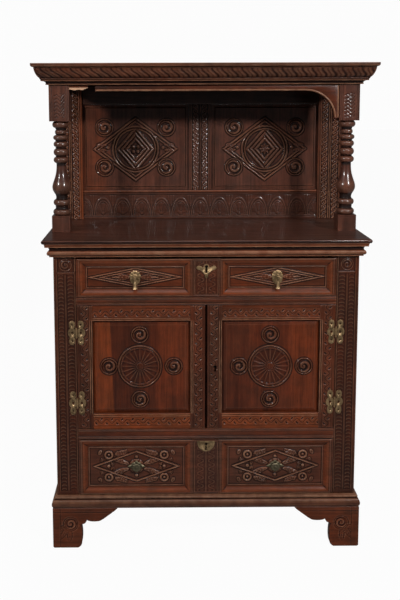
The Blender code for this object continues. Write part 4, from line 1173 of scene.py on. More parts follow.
class CUPBOARD_OT_stage_back(bpy.types.Operator):
    """Carves the framed back of the open stage"""

    bl_idname = "cupboard.stage_back"
    bl_label = "Stage back"

    def stile(self, name, side, sizes):
        """A stile with two plaited columns."""
        low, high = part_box(f"back_stile_{name}")
        inner = min(abs(low[0]), abs(high[0]))

        def relief(x, z):
            inward = side * x - inner
            pitch = sizes.stage_pitch
            first = plait(z, inward - 0.0260, pitch, 0.0085, 0.0033)
            second = plait(z + 0.5 * pitch, inward - 0.0660, pitch, 0.0085, 0.0033)
            middle = bead(np.abs(inward - 0.0460) - 0.0028, 0.0022)
            margin = np.clip(1.0 - rise(inward - 0.0130, 0.0014) + rise(inward - 0.0790, 0.0014), 0, 1)
            carved = highest(first, second, middle, margin)
            line = 0.0012 * groove(inward - 0.0085, 0.0011)
            return sizes.ground_depth * (carved - 1.0) - line + eased(x, z, low, high)

        def tone(x, z):
            # The left stile is painted lighter and its margin by the panel brightest, as painted light; the
            # right stile's margin only a little
            edge = 0.45 if side < 0 else 0.05
            return 0.20 * (side < 0) + edge * (1.0 - rise(side * x - inner - 0.0130, 0.0015))

        mesh = carved_board(f"plaited_stage_stile_{name}", low, high, relief, tone=tone)
        place_oak(mesh, "carved", Z_GRAIN, f"back_stile_{name}")

    def rails(self, sizes):
        """Bottom rail of lunettes, plain top rail and plaited muntin."""
        low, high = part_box("back_bottom_rail")
        base = low[2] + 0.016

        def lunettes(x, z):
            pitch = sizes.lunette_pitch
            u = (x / pitch + 0.5) % 1.0 * pitch - 0.5 * pitch
            v = z - base
            reach = np.hypot(u, v * 0.52)
            arch = np.maximum(bead(reach - 0.0325, 0.0024), 0.8 * bead(reach - 0.0265, 0.0018))
            spread = np.arctan2(u, np.maximum(v * 0.52, 1e-6))
            petals = np.abs(np.cos(3.5 * spread)) ** 0.7 * (reach < 0.0235) * rise(reach - 0.006, 0.003)
            boss = bead(np.hypot(u, v - 0.006), 0.0065)
            gap = (x / pitch) % 1.0 * pitch - 0.5 * pitch
            drop = (high[2] - 0.0190 - z) / 0.044
            width = 0.0165 * np.clip(1.0 - drop, 0.0, 1.0) + 0.0020
            vee = bead(gap, width) * (drop > 0) * (drop < 1)
            vee = vee * (0.72 + 0.28 * np.cos(2 * math.pi * gap / 0.0095))
            carved = highest(arch, 0.85 * petals, boss, vee * (reach > 0.0345))
            inside = np.minimum(z - base + 0.004, high[2] - 0.0165 - z)
            ground = np.where(inside > 0, carved, 1.0)
            nosing = 0.0022 * bead(z - (high[2] - 0.0045), 0.0040)
            line = 0.0014 * groove(z - (base - 0.008), 0.0013)
            face = 0.5 * sizes.ground_depth * (ground - 1.0) + nosing - line
            return face + eased(x, z, low, high, 0.0014, 0.0006)

        # The nosing on the rail's top is painted bright as painted highlight; the rest of the rail is darker
        def nosing_painted_highlight(x, z):
            return 0.80 * rise(z - (high[2] - 0.0095), 0.001) - 0.34

        mesh = carved_board("lunette_stage_rail", low, high, lunettes, tone=nosing_painted_highlight)
        place_oak(mesh, "stage", X_GRAIN, "back_bottom_rail")
        low_top, high_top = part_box("back_top_rail")

        def plain(x, z):
            off = z - low_top[2]
            return -0.0014 * groove(off - 0.010, 0.0013) + eased(x, z, low_top, high_top)

        # The top rail is darkened to the deep colour as painted shade, since it lies under the canopy
        mesh = carved_board("plain_stage_rail", low_top, high_top, plain, step=0.003,
                            tone=-0.70)
        place_oak(mesh, "stage", X_GRAIN, "back_top_rail")
        low_mid, high_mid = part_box("back_muntin")

        def chain(x, z):
            first = plait(z, np.abs(x) - 0.0170, sizes.stage_pitch, 0.0078, 0.0031)
            carved = highest(first, bead(x, 0.0024), rise(np.abs(x) - 0.0300, 0.0014))
            line = 0.0014 * groove(np.abs(x) - 0.0350, 0.0012)
            return sizes.ground_depth * (carved - 1.0) - line + eased(x, z, low_mid, high_mid)

        mesh = carved_board("plaited_muntin", low_mid, high_mid, chain, tone=-0.20)
        place_oak(mesh, "stage", Z_GRAIN, "back_muntin")

    def panel(self, name, side):
        """A panel with a ringed lozenge and four scroll bosses."""
        low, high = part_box(f"back_panel_{name}")
        centre = (side * 0.245, 1.330)

        def relief(x, z):
            u = x - centre[0]
            v = z - centre[1]
            reach = np.hypot(u, v)
            ring = np.maximum(bead(reach - 0.086, 0.0044), 0.85 * bead(reach - 0.0755, 0.0034))
            frame_line = lozenge(u, v, 0.155, 0.118)
            lines_raised = np.maximum(bead(frame_line, 0.0042), 0.85 * bead(frame_line + 0.0105, 0.0032))
            inner = np.zeros_like(u)
            for size in (0.078, 0.059, 0.040):
                inner = np.maximum(inner, bead(lozenge(u, v, 0.86 * size, size), 0.0056))
            motif = highest(ring, lines_raised * (reach > 0.084), 0.95 * inner * (reach < 0.072))
            if side < 0:
                pearls = bead(np.hypot(np.abs(u) - 0.0085, np.abs(v) - 0.0085), 0.0072)
            else:
                pearls = np.zeros_like(u)
                for turn in range(0, 360, 45):
                    pearls = np.maximum(pearls, leaf_at(u, v, turn, 0.022, 0.0052))
            motif = np.maximum(motif * (np.maximum(np.abs(u), np.abs(v)) > 0.018), pearls)
            for over in (-1, 1):
                for up, level in ((1, 0.082), (-1, -0.069)):
                    boss_u = u - over * 0.117
                    boss_v = v - level
                    near = np.hypot(boss_u, boss_v)
                    boss = 1.15 * scroll_boss(boss_u, boss_v, 0.034, over * up)
                    motif = np.where(near < 0.034, boss, motif * (near > 0.036))
                tip_u, tip_v = spun(over * u - 0.148, v - 0.006, 180)
                tip = leaf(tip_u, np.abs(tip_v) - 0.010, 0.040, 0.0085)
                motif = highest(motif, tip, bead(np.hypot(over * u - 0.104, v - 0.006), 0.0065))
            near = edge_gap(x, z, low, high)
            border = 0.0022 * groove(near - 0.0125, 0.0018)
            return 0.0060 * motif - border - 0.0008 * (1.0 - rise(near - 0.006, 0.006))

        def tone(x, z):
            # The left panel is painted lighter towards its left edge as painted light; inside the ring each
            # panel is darker
            ring = 1.0 - rise(np.hypot(x - centre[0], z - centre[1]) - 0.085, 0.006)
            return 0.35 * (1.0 - rise(x - low[0] - 0.05, 0.08)) * (side < 0) - 0.55 * ring

        mesh = carved_board(f"carved_stage_panel_{name}", low, high, relief, step=0.0018, tone=tone)
        place_oak(mesh, "stage", Z_GRAIN, f"back_panel_{name}")

    def execute(self, context):
        sizes = context.scene.cupboard_carving
        for name, side in SIDES:
            self.stile(name, side, sizes)
        self.rails(sizes)
        for name, side in SIDES:
            self.panel(name, side)
        return {"FINISHED"}


class CUPBOARD_OT_canopy(bpy.types.Operator):
    """Makes the canopy: its board, carved cornice, apron and what is left of the broken bracket"""

    bl_idname = "cupboard.canopy"
    bl_label = "Canopy"

    BEAD_SIDES = 12
    STUB_ROWS = 7
    STUB_COLUMNS = 46

    def cornice(self, sizes):
        """Cornice with leaning leaf lobes on its hollow."""
        low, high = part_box("cornice")
        foot, top = low[2], high[2]
        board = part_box("canopy_board")
        half = board[1][0]
        front = board[0][1]
        profile = [(0.0, foot), (0.0080, foot), (0.0090, foot + 0.0022), (0.0076, foot + 0.0042)]
        profile += arc((0.0205, foot + 0.0052), (0.0128, 0.0072), 180, 100, 9)
        profile += [(0.0225, foot + 0.0124), (0.0232, foot + 0.0175), (0.0246, foot + 0.0182)]
        profile += [(0.0266, top - 0.0486), (0.0298, top - 0.0456), (0.0330, top - 0.0420)]
        profile += [(0.0364, top - 0.0363), (0.0390, top - 0.0308), (0.0408, top - 0.0255)]
        profile += [(0.0422, top - 0.0200), (0.0432, top - 0.0152), (0.0422, top - 0.0138)]
        profile += [(0.0456, top - 0.0128)]
        profile += arc((0.0450, top - 0.0058), (0.0070, 0.0068), -86, 0, 9)
        profile += [(0.0520, top - 0.0050), (0.0520, top), (0.0, top)]
        middle = top - 0.0335

        def leaves(along, reach, height):
            across = (height - middle) / 0.0178
            inside = (np.abs(across) < 1.0) & (reach > 0.0250) & (reach < 0.0433)
            carved = slanted_lobes(along, across, sizes.cornice_pitch) * bead(across, 1.02) ** 0.5
            return np.where(inside, 0.0025 * (carved - 1.0), 0.0)

        profile = refine(profile, 0.0016)
        mesh = mitred_moulding("carved_cornice", profile, half, front, high[1], 0.0029, leaves)
        store(mesh, "tone", -0.12)
        place_oak(mesh, "carved", X_GRAIN, "cornice")

    def execute(self, context):
        self.cornice(context.scene.cupboard_carving)
        two_planks("canopy", "canopy_board", 0.0006)
        low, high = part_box("apron")
        foot = high[2] - 0.020
        toe = high[0] - 0.016
        bow = arc((high[0] - 0.1175, low[2]), (0.1015, foot - low[2]), 90, 0, 33)
        outline = [(low[0], high[2]), (low[0], foot)] + bow
        outline += [(toe, low[2]), (high[0], low[2]), (high[0], high[2])]
        mesh = prism("arched_apron", outline, low[1] + 0.0015, high[1], 0.0008)
        place_oak(mesh, "carved", X_GRAIN, "apron")
        path = [(low[0] + 0.002, foot + 0.0015)] + [(x + 0.003, z + 0.0015) for x, z in bow[:-2]]
        path += [(toe + 0.0035, low[2] + 0.004)]
        self.moulded_edge("apron_bead", path, low[1] + 0.0028)
        path = [(high[0] - 0.004, low[2] + 0.003), (high[0] - 0.004, high[2] - 0.003)]
        self.moulded_edge("bracket_bead", path, low[1] + 0.0028)
        self.broken_stub()
        return {"FINISHED"}

    def moulded_edge(self, name, path, depth):
        """A half-round bead along a path on the apron's face."""
        points = []
        for place, (x, z) in enumerate(path):
            before = path[max(0, place - 1)]
            after = path[min(len(path) - 1, place + 1)]
            ahead = Vector((after[0] - before[0], after[1] - before[1])).normalized()
            for turn in range(self.BEAD_SIDES):
                angle = 2 * math.pi * turn / self.BEAD_SIDES
                off = 0.0034 * math.cos(angle)
                points.append((x - ahead.y * off, depth + 0.0026 * math.sin(angle), z + ahead.x * off))
        # The bead is painted pale all along, as wear and as painted highlight
        mesh = new_mesh(name, points, tube_faces(len(path), self.BEAD_SIDES), 0.95)
        tidy_normals(mesh)
        place_oak(mesh, "carved", X_GRAIN, "apron")

    def broken_stub(self):
        """The pale, splintered end of the bracket that broke off at the left."""
        low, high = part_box("apron")
        top = high[2]
        start, end = -0.4590, -0.3950
        x = np.linspace(start, end, self.STUB_COLUMNS)
        ragged = 0.0170 + 0.0008 * np.sin(210 * x) + 0.0006 * np.sin(930 * x + 1.0)
        ragged += 0.0004 * np.sin(2300 * x)
        ragged -= 0.0060 * rise(x - (end - 0.022), 0.022)
        rows = []
        for share in np.linspace(0.0, 1.0, self.STUB_ROWS):
            y = low[1] + share * (high[1] - low[1])
            drop = ragged * (1.0 - 0.25 * share) + 0.0006 * np.sin(1500 * x + 5 * share)
            rows.append(np.stack([x, np.full_like(x, y), top - drop], -1))
        under = np.array(rows)
        upper = under.copy()
        upper[:, :, 2] = top - 0.0090
        index = np.arange(self.STUB_ROWS * self.STUB_COLUMNS).reshape(self.STUB_ROWS, -1)
        quads = grid_faces(index)
        border = border_of(index)
        after = np.roll(border, -1)
        faces = quads[:, [0, 3, 2, 1]].tolist() + (quads + index.size).tolist()
        faces += np.stack([border, after, index.size + after, index.size + border], -1).tolist()
        points = np.concatenate([under.reshape(-1, 3), upper.reshape(-1, 3)])
        mesh = new_mesh("broken_bracket_stub", points, faces, angle=25)
        tidy_normals(mesh)
        place_oak(mesh, "raw", X_GRAIN)
        mesh = plain_board("broken_bracket_root", (start, low[1] + 0.0005, top - 0.0090),
                           (end, high[1], top - 0.0002))
        place_oak(mesh, "carved", X_GRAIN)


class CUPBOARD_OT_drawers(bpy.types.Operator):
    """Makes both drawers: moulded and carved fronts, sides and bottoms"""

    bl_idname = "cupboard.drawers"
    bl_label = "Drawers"

    BLOCK = 0.046
    FIELD_X = (0.077, 0.394)
    MARGIN = 0.031
    FIELD_DEPTH = 0.0105
    SLOPE = (0.0045, 0.0230)
    # Place and radius of the scrolls of the lower drawer, outside and inside its lozenge
    OUTER_SCROLLS = ((0.062, 0.0445, 0.0100), (0.036, 0.0500, 0.0062), (0.118, 0.0220, 0.0062))
    INNER_SCROLLS = ((0.052, 0.0180, 0.0095), (0.082, 0.0085, 0.0065))
    # Start, angle and length of the leaves outside it
    SPRAYS = ((0.074, 158, 0.046), (0.070, 172, 0.040), (0.128, 120, 0.020))

    def moulding(self, off):
        """Height of the mitred moulding at a distance outside a field."""
        height = np.full_like(off, -self.FIELD_DEPTH)
        height = np.where(off > 0, -0.0097 + 0.0016 * bead(off - 0.0020, 0.0021), height)
        slope = np.clip((off - self.SLOPE[0]) / (self.SLOPE[1] - self.SLOPE[0]), 0.0, 1.0)
        ogee = -0.0092 + 0.0084 * (slope - 0.10 * np.sin(2 * math.pi * slope))
        height = np.where(off > self.SLOPE[0], ogee, height)
        return np.where(off > self.SLOPE[1], -0.0014 + 0.0014 * bead(off - 0.0272, 0.0034), height)

    def front(self, name, motif):
        """A drawer front with two moulded fields, a motif on each and a carved block between them."""
        node = f"{name}_drawer_front"
        low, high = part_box(node)
        middle_x = 0.5 * sum(self.FIELD_X)
        half_x = 0.5 * (self.FIELD_X[1] - self.FIELD_X[0])
        middle_z = 0.5 * (low[2] + high[2])
        half_z = 0.5 * (high[2] - low[2]) - self.MARGIN
        key = key_level(name)
        field_tone = 0.14 if name == "upper" else 0.04

        def outside(x, z):
            return np.maximum(np.abs(np.abs(x) - middle_x) - half_x, np.abs(z - middle_z) - half_z)

        def tone(x, z):
            off = outside(x, z)
            slope = rise(off - self.SLOPE[0], 0.001) * (1.0 - rise(off - self.SLOPE[1], 0.001))
            return 0.58 * slope - 0.25 * (np.abs(x) < self.BLOCK) + field_tone * (off < 0)

        def relief(x, z):
            u = np.abs(x) - middle_x
            v = z - middle_z
            off = outside(x, z)
            inside = off < 0
            face = self.moulding(off)
            field = motif(u * np.sign(x), v)
            face = np.where(inside, -self.FIELD_DEPTH + field * rise(-off, 0.004), face)
            block = np.abs(x) < self.BLOCK
            # A deep pit behind the keyhole, which the hollows paint dark as painted shade
            pit = (np.hypot(x, z - key) < 0.0060) | ((np.abs(x) < 0.0048) & (z < key) & (z > key - 0.0230))
            face = np.where(block, self.block(x, v, high[2] - middle_z), face)
            return np.where(pit, -0.016, face + eased(x, z, low, high))

        edges = []
        levels = []
        for step in (0.0, *self.SLOPE):
            for side in (-1, 1):
                edges += [side * (self.FIELD_X[0] - step), side * (self.FIELD_X[1] + step)]
            levels += [middle_z - half_z - step, middle_z + half_z + step]
        mesh = carved_board(f"carved_{node}", low, high, relief, edges, levels, 0.0018, tone)
        finish = "carved" if name == "upper" else "drawer"
        place_oak(mesh, finish, X_GRAIN, node, f"{name}_drawer")

    def block(self, x, v, half_v):
        """The carved block between the fields."""
        border = np.minimum(self.BLOCK - np.abs(x), half_v - np.abs(v))
        sunk = rise(border - 0.0085, 0.0014)
        carved = np.maximum(running_scroll(v, np.abs(x) - 0.0185, 0.0300, 0.0095), bead(x, 0.0030))
        return -0.0010 * sunk * (1.0 - carved) - 0.0015 * groove(border - 0.0045, 0.0012)

    def box(self, name):
        """The drawer's sides, back and bottom."""
        body = f"{name}_drawer"
        node = f"{body}_sides"
        low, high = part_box(node)
        thickness = 0.012
        for label, x0, x1 in (("left", low[0], low[0] + thickness), ("right", high[0] - thickness, high[0])):
            mesh = plain_board(f"{body}_side_{label}", (x0, low[1], low[2]), (x1, high[1], high[2]))
            place_oak(mesh, "inside", Y_GRAIN, node, body)
        mesh = plain_board(f"{body}_back", (low[0] + thickness, high[1] - thickness, low[2]),
                           (high[0] - thickness, high[1], high[2]))
        place_oak(mesh, "inside", X_GRAIN, node, body)
        node = f"{body}_bottom"
        mesh = plain_board(f"{node}_board", *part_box(node), 0.0008)
        place_oak(mesh, "inside", X_GRAIN, node, body)

    def shallow(self, u, v):
        """Relief of a field of the upper drawer: a lozenge, leaves and pearls."""
        line = lozenge(u, v, 0.150, 0.0300)
        motif = np.maximum(1.1 * bead(line, 0.0026), 0.8 * bead(line + 0.0072, 0.0021))
        for over in (-1, 1):
            for up in (-1, 0, 1):
                petal = leaf_at(over * u - 0.016, v, 12 * up, 0.064 - 0.012 * abs(up), 0.0052)
                motif = np.maximum(motif, petal)
            for place in (0.030, 0.042, 0.054):
                motif = np.maximum(motif, 1.15 * bead(np.hypot(over * u - place, v), 0.0042))
        return 0.0034 * motif

    def deep(self, u, v):
        """Relief of a field of the lower drawer: a lozenge, a rose, cups, scrolls and leaves."""
        line = lozenge(u, v, 0.142, 0.0525)
        outer = line > 0.0040
        inner = line < -0.0040
        motif = 1.25 * bead(line, 0.0027)
        for over in (-1, 1):
            for up in (-1, 1):
                cup = np.hypot(u - over * 0.094, v - up * 0.040)
                ring = np.maximum(bead(cup - 0.0120, 0.0038), 0.7 * bead(cup, 0.0042))
                motif = np.where(cup < 0.0160, ring, motif)
                for scrolls, where in ((self.OUTER_SCROLLS, outer), (self.INNER_SCROLLS, inner)):
                    for place, level, size in scrolls:
                        scroll = scroll_boss(over * u - place, up * v - level, size)
                        motif = np.maximum(motif, 0.85 * scroll * where)
                motif = np.maximum(motif, leaf_at(over * u - 0.024, up * v - 0.008, 16, 0.060, 0.0085))
                for start, turn, length in self.SPRAYS:
                    spray = leaf_at(over * u - start, up * v - 0.041, turn, length, 0.0068)
                    motif = np.maximum(motif, 0.9 * spray * outer * (cup > 0.0165))
            motif = np.maximum(motif, bead(np.hypot(u - over * 0.094, v), 0.0060))
            motif = np.maximum(motif, bead(np.hypot(u, v - over * 0.033), 0.0056))
        reach = np.hypot(u, v)
        petals = np.abs(np.cos(4 * np.arctan2(v, u))) ** 0.5
        rose = 0.95 * bead(reach - 0.0185, 0.0070) * (0.35 + 0.65 * petals)
        return 0.0046 * np.where(reach < 0.0255, rose, motif)

    def execute(self, context):
        self.front("upper", self.shallow)
        self.front("lower", self.deep)
        self.box("upper")
        self.box("lower")
        return {"FINISHED"}


class CUPBOARD_OT_doors(bpy.types.Operator):
    """Makes the two doors: frames with a scroll band and panels with a sunburst and four spiral bosses"""

    bl_idname = "cupboard.doors"
    bl_label = "Doors"

    PLAY = 0.0003
    BAND = 0.0150
    NAIL = (0.0303, 0.5935)
    KEYHOLE = (0.0303, 0.628)
    BOSSES = ((0, 0.1085, 1), (0, -0.1145, -1), (-0.1035, 0, 1), (0.1135, 0, -1))
    # Two joints between the boards of each panel, the boards' shades and the width of the first joint
    BOARDS = {"left": ((-0.3145, -0.166), (0.62, -0.45, 0.10), 0.004),
              "right": ((0.150, 0.280), (-0.30, -0.15, 0.18), 0.05)}

    def band(self, along, across, sizes):
        """Depth of the scroll band along a stile or rail."""
        return -0.9 * sizes.ground_depth * gouged_scroll(along, across, 2 * sizes.door_pitch, self.BAND)

    def panel_bead(self, inner):
        """Depth of the bead and the line beside it, at a distance from the panel."""
        line = -0.0018 * groove(inner - 0.0066, 0.0014)
        return line - 0.0030 * (1.0 - bead(inner - 0.0030, 0.0034)) * (inner < 0.0064)

    def frame(self, name, sizes):
        """Two stiles and two rails with a bead at the panel."""
        node = f"{name}_door_frame"
        body = f"{name}_door"
        low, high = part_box(node)
        panel_low, panel_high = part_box(f"{name}_door_panel")
        hole = (panel_low[0] - self.PLAY, panel_high[0] + self.PLAY,
                panel_low[2] - self.PLAY, panel_high[2] + self.PLAY)
        for label, x0, x1 in (("left", low[0], hole[0]), ("right", hole[1], high[0])):
            middle = 0.5 * (x0 + x1)
            toward = 1 if label == "left" else -1
            locked = (name, label) == ("right", "left")
            corner = (x0, low[1], low[2])
            other = (x1, high[1], high[2])

            def relief(x, z):
                inner = (x1 - x) if toward > 0 else (x - x0)
                open_part = rise(z - hole[2], 0.001) * (1.0 - rise(z - hole[3], 0.001))
                face = self.band(z, x - middle + 0.001 * toward, sizes) + self.panel_bead(inner) * open_part
                face = face + eased(x, z, corner, other)
                if locked:
                    face = face + 0.0035 * bead(np.hypot(x - self.NAIL[0], z - self.NAIL[1]), 0.0030)
                return face

            # A deep slot down the meeting edge of the doors, painted dark as painted shade
            def pits(x, z):
                return 0.009 * (np.abs(x) < 0.0030)

            mesh = carved_board(f"{body}_stile_{label}", corner, other, relief, step=0.0016,
                                tone=-0.15, pits=pits)
            if locked:
                mesh = cut_keyhole(mesh, self.KEYHOLE, 0.0057, 0.0175, low[1], low[1] + 0.018)
            place_oak(mesh, "carved", Z_GRAIN, node, body)
        for label, z0, z1 in (("lower", low[2], hole[2]), ("upper", hole[3], high[2])):
            middle = 0.5 * (z0 + z1)
            toward = 1 if label == "lower" else -1
            corner = (hole[0] + 0.0001, low[1], z0)
            other = (hole[1] - 0.0001, high[1], z1)

            def relief(x, z):
                inner = (z1 - z) if toward > 0 else (z - z0)
                return self.band(x - corner[0], z - middle + 0.001 * toward, sizes) + self.panel_bead(inner)

            mesh = carved_board(f"{body}_rail_{label}", corner, other, relief, step=0.0016,
                                tone=0.80 if label == "lower" else 0.30)
            place_oak(mesh, "carved", X_GRAIN, node, body)

    def panel(self, name, centre, sizes):
        """A panel with a bevelled edge, a sunburst and four spiral bosses."""
        node = f"{name}_door_panel"
        low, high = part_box(node)

        def relief(x, z):
            u = x - centre[0]
            v = z - centre[1]
            near = edge_gap(x, z, low, high)
            ground = -0.0030 * (1.0 - rise(near, 0.0125)) + 0.0010 * rise(near - 0.0128, 0.0012)
            radius = sizes.sunburst_radius
            motif = np.where(np.hypot(u, v) < radius, sunburst(u, v, radius), 0.0)
            for across, up, hand in self.BOSSES:
                place = (u - across, v - up)
                boss = 1.1 * scroll_boss(*place, sizes.boss_radius, hand)
                motif = np.where(np.hypot(*place) < sizes.boss_radius, boss, motif)
            return ground + 0.0046 * motif

        def boards(x, z):
            (joint, edge), (left, middle, right), soft = self.BOARDS[name]
            lean = 0.04 * (centre[1] - z)
            first = rise(x - joint - lean + 0.5 * soft, soft)
            second = rise(x - edge + 0.02, 0.04)
            shade = left + (middle - left) * first + (right - middle) * second
            off = np.hypot(x - centre[0], z - centre[1]) - sizes.sunburst_radius
            for across, up, hand in self.BOSSES:
                boss = np.hypot(x - centre[0] - across, z - centre[1] - up) - sizes.boss_radius
                off = np.minimum(off, boss)
            return shade + (-0.42 - shade) * (1.0 - rise(off, 0.004))

        mesh = carved_board(f"sunburst_{node}", low, high, relief, step=0.0018, tone=boards)
        place_oak(mesh, "panel", Z_GRAIN, node, f"{name}_door")

    def execute(self, context):
        sizes = context.scene.cupboard_carving
        self.frame("left", sizes)
        self.frame("right", sizes)
        self.panel("left", (-0.2216, 0.6300), sizes)
        self.panel("right", (0.2146, 0.6284), sizes)
        return {"FINISHED"}


class CUPBOARD_OT_hinges(bpy.types.Operator):
    """Cuts the lobed brass hinge leaves, with their nails and knuckles"""

    bl_idname = "cupboard.hinges"
    bl_label = "Hinges"

    PIN_X = 0.43175
    PIN_Y = -0.2085
    FACE = -0.2073
    BACK = -0.2053
    # Height, half-width and half-height of each pierced loop, as shares of the leaf
    LOOPS = ((0.0, 0.12, 0.050), (0.335, 0.07, 0.040), (-0.335, 0.07, 0.040))
    NAIL = ((-0.0004, 0.0026), (0.0002, 0.0026), (0.0009, 0.0021), (0.0014, 0.0010))
    KNUCKLE = ((-0.0058, 0.0026), (-0.0053, 0.0031), (0.0053, 0.0031), (0.0058, 0.0026))

    def leaf_outline(self, height, width):
        """Half-heights and widths of a lobed leaf, from its foot to its head."""
        found = []
        for share in np.linspace(-1.0, 1.0, 97):
            lobe = abs(math.cos(1.5 * math.pi * share)) ** 0.62
            tip = math.sqrt(max(0.0, 1.0 - max(0.0, (abs(share) - 0.86) / 0.14) ** 2))
            taper = 1.0 - 0.30 * rise(abs(share) - 0.25, 0.15)
            half = width * taper * (0.56 + 0.44 * lobe) * (0.25 + 0.75 * tip)
            found.append((share * 0.5 * height, max(0.0012, half)))
        return found

    def hinge_leaf(self, node, pin_x, toward, knuckles):
        """A pierced leaf at one side of the pin, with two nails and its knuckles."""
        low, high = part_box(node)
        middle = 0.5 * (low[2] + high[2])
        height = high[2] - low[2]
        reach = (high[0] - pin_x) if toward > 0 else (pin_x - low[0])
        centre = pin_x + toward * 0.5 * reach
        shape = self.leaf_outline(height, 0.5 * reach - 0.0004)
        outline = [(pin_x + toward * (0.5 * reach + width), middle + up) for up, width in shape]
        for up, width in shape[::-1]:
            root = 0.0008 if abs(up) < 0.006 else 0.5 * reach - width
            outline.append((pin_x + toward * root, middle + up))
        solid = prism(node + "_plate", outline[::toward], self.FACE, self.BACK, 0.0009)
        for up, wide, tall in self.LOOPS:
            loop = arc((centre, middle + up * height), (wide * reach, tall * height), 0, 345, 24)
            solid = cut_mesh(solid, prism("loop", loop, self.FACE - 0.01, self.BACK + 0.01), "DIFFERENCE")
        pieces = [solid]
        for up in (0.17, -0.17):
            nail = turned(node + "_nail", self.NAIL, 16)
            pieces.append(shifted(nail, (centre, self.FACE, middle + up * height), "X"))
        for place in knuckles:
            knuckle = turned(node + "_knuckle", self.KNUCKLE, 24)
            pieces.append(shifted(knuckle, (pin_x, self.PIN_Y, middle + place)))
        return joined("lobed_" + node, pieces)

    def execute(self, context):
        for side, hand in SIDES:
            for level in ("lower", "upper"):
                node = f"hinge_{side}_{level}_frame_leaf"
                mesh = self.hinge_leaf(node, hand * self.PIN_X, hand, (-0.012, 0.012))
                place_metal(mesh, "brass", node, "case")
                node = f"hinge_{side}_{level}_door_leaf"
                mesh = self.hinge_leaf(node, hand * self.PIN_X, -hand, (0.0,))
                place_metal(mesh, "brass", node, f"{side}_door")
        return {"FINISHED"}


